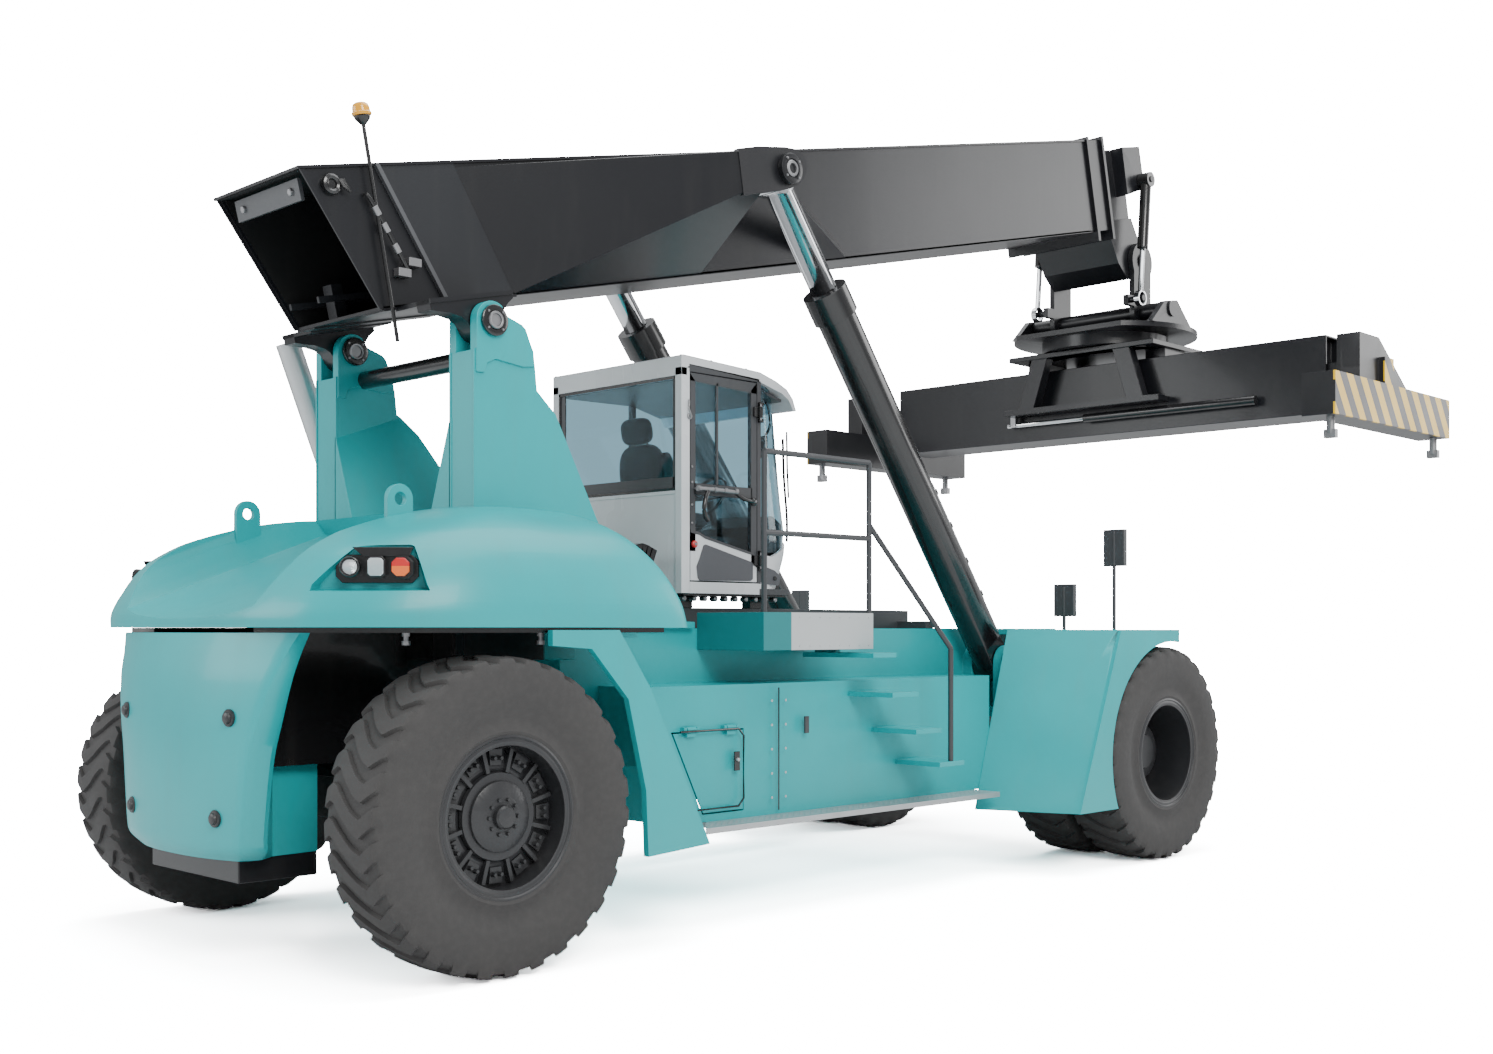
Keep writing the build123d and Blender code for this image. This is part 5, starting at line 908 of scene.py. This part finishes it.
# on the boom's right side: hose grommet with its hoses, bent grab bar with its clamps
fittings = Piece()
grommet = boom_at(-0.675, -0.50, 0.93)
fittings.turned([(0, 0.030), (0, 0.062), (0.014, 0.066), (0.032, 0.060), (0.038, 0.045), (0.030, 0.030)],
                grommet, (0, -1, 0), 40)
fittings.knob([(-0.01, 0.036), (0.02, 0.034), (0.026, 0.02)], grommet, (0, -1, 0), 24)
for k in range(4):
    fittings.tube([boom_at(-0.64 + 0.01 * k, -0.50, 0.955), boom_at(-0.625 + 0.01 * k, -0.535, 0.95),
                   boom_at(-0.61 + 0.012 * k, -0.545, 0.90 - 0.01 * k)], 0.009)
bar = [boom_at(-0.46, -0.515, 0.86), boom_at(-0.44, -0.545, 0.82), boom_at(-0.285, -0.545, 0.42),
       boom_at(-0.27, -0.515, 0.38)]
fittings.tube(eased(bar, 20), 0.013)
for s in (0.16, 0.42, 0.74):
    middle, step = bar[1] * (1 - s) + bar[2] * s, (bar[2] - bar[1]) * 0.07
    fittings.tube([middle - step, middle, middle + step], 0.021, 14, 1)
for v, u in ((0.43, -0.22), (0.375, -0.31)):
    fittings.block(boom_at(u - 0.05, -0.565, v - 0.014), boom_at(u + 0.05, -0.505, v + 0.014), 1)
fittings.done("boom_side_fittings", "boom", [black, steel], angle=40, edge=0.002, slot_name="black_paint")

# beacon: amber lens on a slim pole beside the boom's rear end
beacon = Piece()
pole_foot, pole_top = at(0.10, -0.545, 3.71), at(-0.150, -0.545, 5.03)
pole_run = (pole_top - pole_foot) / np.linalg.norm(pole_top - pole_foot)
beacon.tube([pole_foot + pole_run * s for s in (0, 0.4, 0.9, 1.35)], 0.0125)
lens_foot = pole_foot + pole_run * 1.30
beacon.turned([(0, pinhole), (0, 0.018), (0.03, 0.045), (0.045, 0.050), (0.050, pinhole)],
              lens_foot, pole_run, 32)
beacon.turned([(0.052, pinhole), (0.052, 0.056), (0.060, 0.060), (0.068, 0.060), (0.074, 0.054),
               (0.100, 0.052), (0.118, 0.046), (0.128, 0.030), (0.130, pinhole)], lens_foot,
              pole_run, 40, 1)
beacon.done("beacon_on_pole", "boom", [black, amber], angle=40, stands_for=["beacon"],
            slot_name="black_paint")

# ---------------------------------------------------------------- cab
# Pressed steel frame with bonded tinted panes: a broad band under the roof, a sheet
# rear panel, a curved screen, and moulded sills with grey inset pads.
cab = Piece()
cab_y, cab_low = 0.72, 2.20
cab.side_plate([(2.325, 3.745), (2.325, 3.882), (2.345, 3.89), (3.125, 3.853), (3.30, 3.805),
                (3.42, 3.755), (3.485, 3.69), (3.525, 3.60), (3.49, 3.60), (3.44, 3.675), (3.36, 3.72),
                (3.10, 3.785), (2.42, 3.822), (2.38, 3.80), (2.38, 3.745)], -cab_y, 2 * cab_y)
for sign in (1, -1):
    cab.block(at(2.325, sign * 0.655, cab_low), at(2.405, sign * cab_y, 3.80))
    # sill under the door, and the posts that frame the door and the quarter pane
    cab.block(at(2.40, sign * 0.66, cab_low), at(3.12, sign * cab_y, 2.282))
    cab.side_plate([(3.096, 2.28), (3.135, 2.28), (3.135, 3.785), (3.096, 3.785)], sign * cab_y,
                   -sign * 0.05, 1)
    cab.side_plate([(2.40, 3.775), (3.12, 3.775), (3.12, 3.80), (2.40, 3.83)], sign * cab_y,
                   -sign * 0.05, 1)
# rear: sheet panel with its folded edges, black seal and printed border of the pane
cab.block(at(2.333, -0.66, cab_low), at(2.352, 0.66, 2.925))
cab.block(at(2.329, -0.66, 2.905), at(2.356, 0.66, 2.928))
for low, high in (((2.331, -0.66, 2.93), (2.352, 0.66, 2.950)),
                  ((2.331, -0.66, 3.722), (2.352, 0.66, 3.748)),
                  ((2.331, -0.66, 2.93), (2.352, -0.640, 3.74)),
                  ((2.331, 0.640, 2.93), (2.352, 0.66, 3.74))):
    cab.block(at(*low), at(*high), 2)
for low, high in (((2.340, -0.64, 2.945), (2.348, 0.64, 3.03)),
                  ((2.340, 0.59, 2.945), (2.348, 0.645, 3.73)),
                  ((2.340, -0.645, 2.945), (2.348, -0.615, 3.73))):
    cab.block(at(*low), at(*high), 1)
# floor and roof lining
cab.block(at(2.34, -0.70, cab_low), at(3.46, 0.70, 2.245), 1)
cab.side_plate([(2.36, 3.74), (3.10, 3.75), (3.40, 3.68), (3.40, 3.66), (3.10, 3.73), (2.36, 3.72)],
               -0.68, 1.36, 1)
# bow of the screen in plan, from the right post to the left one
post_x = 3.13
bow = eased([(3.13, -0.70), (3.26, -0.695), (3.38, -0.655), (3.46, -0.56), (3.505, -0.40), (3.525, -0.2),
             (3.53, 0), (3.525, 0.2), (3.505, 0.40), (3.46, 0.56), (3.38, 0.655), (3.26, 0.695),
             (3.13, 0.70)], 61)


def bowed(z, x_front, shrink=0.0):
    """Ring of places at each column: the bow stretched to x_front at height z and drawn in by shrink."""
    x = post_x + (bow[:, 0] - post_x) * (x_front - shrink - post_x) / 0.40
    return np.stack([rear_x + x, bow[:, 1] * (1 - shrink / 0.7), z + 0 * x], -1)


def bowed_skin(piece, outer_rows, inner_rows):
    """Adds two bowed sheets, one behind the other, closed all round."""
    ring = np.concatenate([np.array(outer_rows), np.array(inner_rows)[::-1]])
    piece.add(ring, grid_faces(len(ring), len(bow), True, False))
    for column in (0, len(bow) - 1):
        piece.add(ring[:, column], [tuple(range(len(ring)))])


apron_top = np.interp(bow[:, 0], (3.13, 3.26, 3.40, 3.53), (2.500, 2.488, 2.56, 2.665))
outer_rows, inner_rows = [], []
for share in np.linspace(0, 1, 8):
    z = cab_low + (apron_top - cab_low) * share
    x_front = np.interp(z, (2.20, 2.26, 2.50, 2.67), (3.44, 3.50, 3.625, 3.655))
    outer_rows.append(bowed(z, x_front))
    inner_rows.append(bowed(z, x_front, 0.03))
bowed_skin(cab, outer_rows, inner_rows)
# skids on the rails, and on the right side a row of rollers under its strip
for x in (2.50, 3.30):
    for sign in (1, -1):
        cab.block(at(x - 0.10, sign * 0.5 - 0.045, 2.1003), at(x + 0.10, sign * 0.5 + 0.045, 2.205), 2)
for x in np.arange(2.42, 3.45, 0.105):
    cab.knob([(0, 0.020), (0.05, 0.020), (0.055, 0.014)], at(x, -0.600, 2.165), (0, -1, 0), 14, 3)
cab.block(at(2.40, -0.66, 2.185), at(3.46, -0.56, 2.205), 2)
# grey inset pads, red stop button, latch
pad_line = [(2.50, 2.45), (2.47, 2.39), (2.482, 2.31), (2.50, 2.292), (3.02, 2.30), (3.045, 2.315),
            (3.045, 2.43), (3.03, 2.44), (2.56, 2.552), (2.54, 2.545)]
for sign in (1, -1):
    cab.side_plate([(3.155, 2.40), (3.165, 2.42), (3.30, 2.385), (3.365, 2.345), (3.35, 2.28),
                    (3.34, 2.27), (3.17, 2.285), (3.155, 2.295)], sign * 0.698, sign * 0.006, 4)
cab.knob([(0, 0.016), (0.012, 0.016)], at(3.30, -0.702, 2.325), (0, -1, 0), 16, 2)
cab.tube(eased([at(2.395, -0.725, 3.57), at(2.375, -0.745, 3.54), at(2.372, -0.748, 3.50),
                at(2.392, -0.745, 3.465), at(2.402, -0.725, 3.44)], 16), 0.007, 10, 3)
cab.knob([(0, 0.022), (0.012, 0.022), (0.016, 0.016)], at(2.40, -0.718, 3.455), (0, -1, 0), 18, 3)
for z in (2.45, 3.55):
    cab.block(at(3.10, -0.745, z - 0.075), at(3.14, -0.715, z - 0.045), 2)
    cab.block(at(3.10, -0.745, z + 0.045), at(3.14, -0.715, z + 0.075), 2)
    cab.knob([(-0.06, 0.009), (0.06, 0.009)], at(3.11, -0.74, z), (0, 0, 1), 14, 3)
for x, y in ((2.34, 0.70), (2.34, -0.70), (2.62, -0.715), (2.98, -0.715)):
    cab.knob([(0, 0.012), (0.006, 0.010)], at(x, y, 3.884 - 0.046 * max(0, x - 2.4)), (0, 0, 1), 12, 2)
cab_white = paint("cab_enamel", (0.66, 0.68, 0.70), 0.24, dirtiness=0.12, coat=0.3)
cab_pad = paint("cab_pad_grey", (0.075, 0.078, 0.088), 0.45, dirtiness=0.1)
cab.done("cab_frame", "cab", [cab_white, frame_grey, black, steel, cab_pad], angle=32, edge=0.005,
         stands_for=["cab_shell"], slot_name="cab_silver")

# panes: rear, left side, both quarter panes and the screen as one bowed sheet
panes = Piece()
panes.block(at(2.342, -0.645, 2.94), at(2.349, 0.645, 3.735))
panes.block(at(2.41, 0.695, 2.30), at(3.10, 0.702, 3.775))
levels = [(2.52, 3.635), (2.70, 3.650), (2.90, 3.60), (3.08, 3.565), (3.30, 3.525), (3.50, 3.49),
          (3.62, 3.465), (3.70, 3.43)]
screen_top = np.interp(bow[:, 0], (3.13, 3.53), (3.78, 3.70))
outer_rows, inner_rows = [], []
for k, (z, x_front) in enumerate(levels):
    level_z = np.minimum(z, screen_top) if k < len(levels) - 1 else screen_top
    level_z = np.maximum(level_z, apron_top + 0.002 * k)
    outer_rows.append(bowed(level_z, x_front, 0.012))
    inner_rows.append(bowed(level_z, x_front, 0.019))
bowed_skin(panes, outer_rows, inner_rows)
panes.done("cab_panes", "cab", [window], angle=40, stands_for=["cab_glass"], slot_name="glass_blue")

# door: dark frame, split pane, silver grab bar, moulded sill
door = Piece()
door_y, skin_y, hinge_x = -0.72, -0.722, 3.11


def door_plate(line, depth=0.036, slot=0, y=door_y):
    door.side_plate(line, y, depth, slot)


door_plate([(2.412, 2.50), (2.462, 2.50), (2.462, 3.71), (2.412, 3.76)])
door_plate([(3.03, 2.44), (3.088, 2.40), (3.088, 3.765), (3.03, 3.705)])
door_plate([(2.412, 3.712), (3.088, 3.685), (3.088, 3.765), (2.412, 3.768)])
door_plate([(2.45, 2.905), (3.04, 2.905), (3.04, 2.985), (2.45, 2.985)])
door_plate([(2.672, 2.98), (2.690, 2.98), (2.690, 3.72), (2.672, 3.72)], 0.02)
door_plate([(2.412, 2.292), (3.088, 2.292), (3.088, 2.49), (2.96, 2.515), (2.56, 2.60), (2.50, 2.625),
            (2.412, 2.64)], 0.038, 1)
door_plate([(2.412, 2.632), (2.50, 2.617), (2.56, 2.592), (2.96, 2.507), (3.088, 2.482), (3.088, 2.50),
            (2.96, 2.525), (2.56, 2.612), (2.50, 2.637), (2.412, 2.652)], 0.030, 0, -0.723)
door_plate(pad_line, -0.005, 2)
door.knob([(0, 0.026), (0.012, 0.024), (0.018, 0.016)], at(2.447, skin_y, 2.55), (0, -1, 0), 24, 3)
door.knob([(0.016, 0.012), (0.022, 0.010)], at(2.447, skin_y, 2.55), (0, -1, 0), 16, 4)
door.tube([at(2.435, -0.765, 2.945), at(2.62, -0.765, 2.945), at(2.82, -0.765, 2.94)], 0.016, 16, 4)
for x in (2.44, 2.60, 2.70, 2.81):
    door.knob([(0, 0.020), (0.030, 0.020)], at(x, -0.765, 2.944), (1, 0, 0), 16, 4)
    door.tube([at(x + 0.015, door_y, 2.944), at(x + 0.015, -0.742, 2.944),
               at(x + 0.015, -0.765, 2.944)], 0.009, 10, 4)
door.tube(eased([at(2.54, -0.77, 2.93), at(2.50, -0.782, 2.87), at(2.485, -0.785, 2.80),
                 at(2.50, -0.785, 2.745), at(2.535, -0.775, 2.72)], 20), 0.017, 14, 5)
door.tube(eased([at(2.83, -0.76, 2.935), at(2.90, -0.765, 2.90), at(2.98, -0.762, 2.885),
                 at(3.03, -0.745, 2.885)], 16), 0.016, 12, 5)
door.knob([(0, 0.030), (0.02, 0.030), (0.028, 0.02)], at(3.045, skin_y, 2.885), (0, -1, 0), 24, 5)
door.bolts([at(3.045, -0.748, 2.885)], (0, -1, 0), 0.010, 0.012, 4)
door.bolts([at(2.425, skin_y, z) for z in (2.70, 2.83, 2.99, 3.10)], (0, -1, 0), 0.009, 0.006, 4)
for z in (2.45, 3.55):
    door.turned([(-0.04, 0.0095), (-0.04, 0.018), (0.04, 0.018), (0.04, 0.0095)], at(hinge_x, -0.74, z),
                (0, 0, 1), 18, 5)
    door.block(at(3.05, -0.736, z - 0.035), at(3.098, skin_y, z + 0.035), 5)
red_button = paint("red_button", (0.60, 0.03, 0.03), 0.3, dirtiness=0.05)
door.done("cab_door_frame", "door", [frame_grey, cab_white, cab_pad, red_button, steel, black], angle=35,
          edge=0.003, stands_for=["cab_door"], slot_name="dark_frame")
door_pane = Piece()
door_pane.side_plate([(2.455, 2.58), (2.96, 2.505), (3.04, 2.49), (3.04, 3.70), (2.455, 3.72)],
                     -0.705, 0.007)
door_pane.done("door_pane", "door", [window], stands_for=["door_glass"], slot_name="glass_blue")

# driver's place: sprung seat with winged back and headrest, arm rest, column, wheel
seat = Piece()


def cushion(centre, size, turn_back=0.0):
    """Superellipsoid: |x/a|^p + |y/b|^p + |z/c|^p = 1, leaned back about y."""
    power = 3.2
    t, f = np.linspace(-np.pi / 2, np.pi / 2, 17)[:, None], np.linspace(0, 2 * np.pi, 33)[:-1][None, :]

    def curl(v):
        return np.sign(v) * abs(v)**(2 / power)

    x, y, z = curl(np.cos(t)) * curl(np.cos(f)), curl(np.cos(t)) * curl(np.sin(f)), curl(np.sin(t)) + 0 * f
    x, y, z = x * size[0] / 2, y * size[1] / 2, z * size[2] / 2
    c, s = math.cos(turn_back), math.sin(turn_back)
    points = np.stack([centre[0] + x * c - z * s, centre[1] + y, centre[2] + x * s + z * c], -1)
    capped(seat, points[1:-1])


cushion(at(2.83, 0, 2.74), (0.52, 0.50, 0.14))
cushion(at(2.62, 0, 3.05), (0.13, 0.48, 0.56), 0.14)
cushion(at(2.60, 0, 3.10), (0.09, 0.40, 0.40), 0.14)
cushion(at(2.545, 0, 3.42), (0.11, 0.30, 0.20), 0.16)
for sign in (1, -1):
    cushion(at(2.66, sign * 0.22, 3.03), (0.12, 0.09, 0.46), 0.14)
    cushion(at(2.78, sign * 0.30, 2.93), (0.34, 0.07, 0.06))
    cushion(at(2.83, sign * 0.23, 2.765), (0.44, 0.09, 0.12))
seat.block(at(2.60, -0.19, 2.25), at(2.99, 0.19, 2.56), 1)
seat.side_plate([(2.62, 2.56), (2.98, 2.56), (3.05, 2.68), (2.60, 2.68)], -0.2, 0.4, 1)
seat.tube([at(3.46, 0.0, 2.25), at(3.40, 0.0, 2.62), at(3.30, 0.0, 2.95)], 0.035, 14, 1)
seat.side_plate([(3.28, 2.25), (3.44, 2.25), (3.46, 2.74), (3.36, 2.80), (3.26, 2.72)], -0.62, 1.24, 1)
turn = np.linspace(0, 2 * np.pi, 40)
wheel_u, wheel_v = np.array((0.55, 0, 0.83)), np.array((0, 1.0, 0))
seat.tube([at(3.27, 0, 2.97) + 0.19 * (math.cos(a) * wheel_u + math.sin(a) * wheel_v)
           for a in turn], 0.014, 10, 1)
seat.tube([at(3.27, -0.18, 2.97), at(3.27, 0, 2.96), at(3.27, 0.18, 2.97)], 0.012, 10, 1)
for sign in (1, -1):
    seat.tube([at(2.60, sign * 0.07, 3.30), at(2.575, sign * 0.07, 3.36),
               at(2.56, sign * 0.07, 3.40)], 0.008, 8, 1)
seat.block(at(2.72, -0.60, 2.25), at(2.98, -0.36, 2.62), 1)
# inner mirror on its bent arm
seat.tube(eased([at(3.20, -0.55, 3.70), at(3.36, -0.56, 3.66), at(3.40, -0.56, 3.50),
                 at(3.34, -0.56, 3.40)], 16), 0.010, 8, 1)
seat.block(at(3.27, -0.62, 3.24), at(3.31, -0.46, 3.40), 1)
seat.done("driver_seat", "cab", [cloth, black], angle=50, stands_for=["cab_seat"], slot_name="seat_fabric")

# wiper on the screen's right half
wiper = Piece()
wiper.tube(eased([at(3.50, -0.60, 3.40), at(3.535, -0.58, 3.10), at(3.60, -0.55, 2.80),
                  at(3.62, -0.53, 2.62)], 16), 0.010, 8)
wiper.tube([at(3.50, -0.64, 3.45), at(3.53, -0.62, 3.15), at(3.565, -0.60, 2.95)], 0.008, 8)
wiper.done("screen_wiper", "cab", [black], slot_name="black_paint")

# ---------------------------------------------------------------- two-tone finishes
# The frame is black inside the rear wheel arches; the deck beside the cab is teal at the rear, at about
# half the teal's brightness as painted shade, and bare sheet at the front; the spreader's ends wear hazard
# stripes.
def split(name, first, second, share, rough=0.34):
    """Two paints parted along a line of the piece: first where share is 0, second where it is 1."""
    finish = Finish(name)
    clouds = finish.noise(1.3, 5).clip(0.3, 0.7)
    colour = finish.mix(share(finish), first, second)
    return finish.shade(
        Base_Color=finish.mix(clouds * 0.10, colour, (0.10, 0.095, 0.085)), Roughness=rough + clouds * 0.08,
        Coat_Weight=0.1, Normal=finish.bump(finish.noise(260, 2), 0.05, 0.001),
    )


def stripes(finish):
    """1 on the yellow bars of the outward faces, slanting down to the front."""
    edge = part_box("end_beam_left")[1].y - 0.02
    side_face = finish.axis("Y").clip(edge, edge + 0.002) + (0 - finish.axis("Y")).clip(edge, edge + 0.002)
    run = (finish.axis("X") * 1.0 + finish.axis("Z") * 0.75) * 3.6
    bars = finish.node("Math", {"operation": "FRACT"}, {0: run})["Value"].clip(0.50, 0.52)
    return side_face * bars


frame_tone = split("frame_two_tone", (0.006, 0.007, 0.008), teal_tone,
                   lambda f: f.axis("X").clip(rear_x + 0.93, rear_x + 0.95))
# rear of the deck: teal at about half its brightness, painted shade; front: bare sheet
deck_tone_and_shade = split("deck_two_tone_and_shade", (0.0, 0.20, 0.215), (0.50, 0.53, 0.54),
                  lambda f: f.axis("X").clip(rear_x + 2.62, rear_x + 2.63), 0.42)
hazard_tone = split("hazard_stripes", boom_tone, (0.92, 0.56, 0.0), stripes)
for node, finish, edge in (("chassis_frame", frame_tone, 0.006), ("cab_platform", deck_tone_and_shade, 0.004),
                           ("end_beam_left", hazard_tone, 0.006), ("end_beam_right", hazard_tone, 0.006)):
    dress(node, finish, edge)

# ---------------------------------------------------------------- frame side details
# Seam between the side sheets with its rivets, a latch near the top of each side box
# and the raised bars of the walkways' chequer plate.
details = Piece()
for side, sign in (("right", -1), ("left", 1)):
    low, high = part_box("side_box_" + side)
    face = low.y if sign < 0 else high.y
    details.block(at(2.664, face, low.z + 0.03), at(2.676, face + sign * 0.003, high.z - 0.03))
    for x in (2.60, 2.74):
        for z in np.linspace(low.z + 0.12, high.z - 0.12, 5):
            details.bolts([at(x, face, z)], (0, sign, 0), 0.010, 0.005, 1)
    details.block(at(2.93, face, high.z - 0.36), at(2.97, face + sign * 0.014, high.z - 0.24), 2)
    # chequer plate: raised bars laid in turns along the walkway
    walk_low, walk_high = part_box("walkways")
    for x in np.arange(walk_low.x + 0.06, walk_high.x - 0.04, 0.058):
        for j in range(3):
            y = sign * (abs(face) + 0.035 + 0.05 * j)
            if abs(y) < max(abs(walk_low.y), walk_high.y) - 0.02:
                details.block((x - 0.016, y - 0.004, walk_high.z),
                              (x + 0.016, y + 0.004, walk_high.z + 0.002), 1)
details.done("frame_side_details", "chassis", [black, galvanised, frame_grey], angle=40)

# seal and latch of the side hatch
hatch_low, hatch_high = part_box("side_hatch")
seal = Piece()
face = hatch_low.y
outline = [(hatch_low.x + 0.03, hatch_high.z - 0.03), (hatch_high.x - 0.08, hatch_high.z - 0.03),
           (hatch_high.x - 0.03, hatch_high.z - 0.08), (hatch_high.x - 0.03, hatch_low.z + 0.08),
           (hatch_high.x - 0.08, hatch_low.z + 0.03), (hatch_low.x + 0.03, hatch_low.z + 0.03)]
seal.tube([(x, face - 0.001, z) for x, z in outline + outline[:1]], 0.0075, 8)
seal.plate([(hatch_high.x - 0.125, hatch_low.z + 0.27), (hatch_high.x - 0.075, hatch_low.z + 0.27),
            (hatch_high.x - 0.075, hatch_low.z + 0.40), (hatch_high.x - 0.125, hatch_low.z + 0.40)],
           (0, face, 0), (1, 0, 0), (0, 0, 1), (0, -0.010, 0))
seal.knob([(0, 0.014), (0.016, 0.012)], (hatch_high.x - 0.10, face - 0.008, hatch_low.z + 0.345),
          (0, -1, 0), 18, 1)
seal.done("hatch_seal_and_latch", "hatch", [black, galvanised], angle=40, edge=0.001)

# fittings of the deck, all bolted to the frame: energy chain behind the cab, rivets
# of the platform, caps on the pins at the lift cylinders' feet
foot_x, foot_z = 5.6, 1.66
deck = Piece()
chain = eased([at(2.24, -0.50, 2.16), at(2.12, -0.50, 2.10), at(1.98, -0.50, 2.14), at(1.90, -0.50, 2.28),
               at(1.93, -0.50, 2.42), at(2.05, -0.50, 2.50), at(2.18, -0.50, 2.46)], 22)
for k in range(len(chain) - 1):
    middle, step = (chain[k] + chain[k + 1]) / 2, chain[k + 1] - chain[k]
    step = step / np.linalg.norm(step)
    square = np.array((-step[2], 0, step[0]))
    deck.plate([(-0.026, -0.045), (0.026, -0.045), (0.026, 0.045), (-0.026, 0.045)],
               middle - np.array((0, 0.10, 0)), step, square, (0, 0.20, 0))
for sign in (1, -1):
    deck.knob([(0, 0.085), (0.012, 0.085), (0.018, 0.078)], at(foot_x, sign * 1.27, foot_z),
              (0, sign, 0), 36)
    for a in (0.6, 2.17, 3.74, 5.31):
        bolt = at(foot_x + 0.055 * math.cos(a), sign * 1.288, foot_z + 0.055 * math.sin(a))
        deck.bolts([bolt], (0, sign, 0), 0.010, 0.008, 1)
platform_low, platform_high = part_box("cab_platform")
for x in np.arange(platform_low.x + 0.36, platform_high.x - 0.02, 0.105):
    for z in (platform_low.z + 0.03, platform_high.z - 0.03):
        deck.turned([(0, pinhole), (0, 0.007), (0.004, 0.005), (0.005, pinhole)], (x, platform_low.y, z),
                    (0, -1, 0), 10, 1)
deck.done("deck_fittings", "chassis", [black, galvanised], angle=40)

# pipes clipped along the outer side of each lift cylinder
for side, sign in (("left", 1), ("right", -1)):
    foot, top = at(foot_x, sign * 1.05, foot_z), at(2.9, sign * 1.05, 5.21)
    run = (top - foot) / np.linalg.norm(top - foot)
    out = np.array((run[2], 0, -run[0]))
    line = Piece()
    beside, shift = 0.140, np.array((0, sign * 0.06, 0))
    line.tube([foot + run * s + out * beside + shift for s in (0.55, 1.0, 1.4, 1.70)], 0.016, 14)
    for s in (0.62, 0.95, 1.3, 1.62):
        clip = foot + run * s + out * beside + shift
        line.tube([clip - run * 0.02, clip, clip + run * 0.02], 0.026, 14, 1)
    line.done("lift_pipe_" + side, "lift_cylinder_" + side, [chrome, black], angle=40)
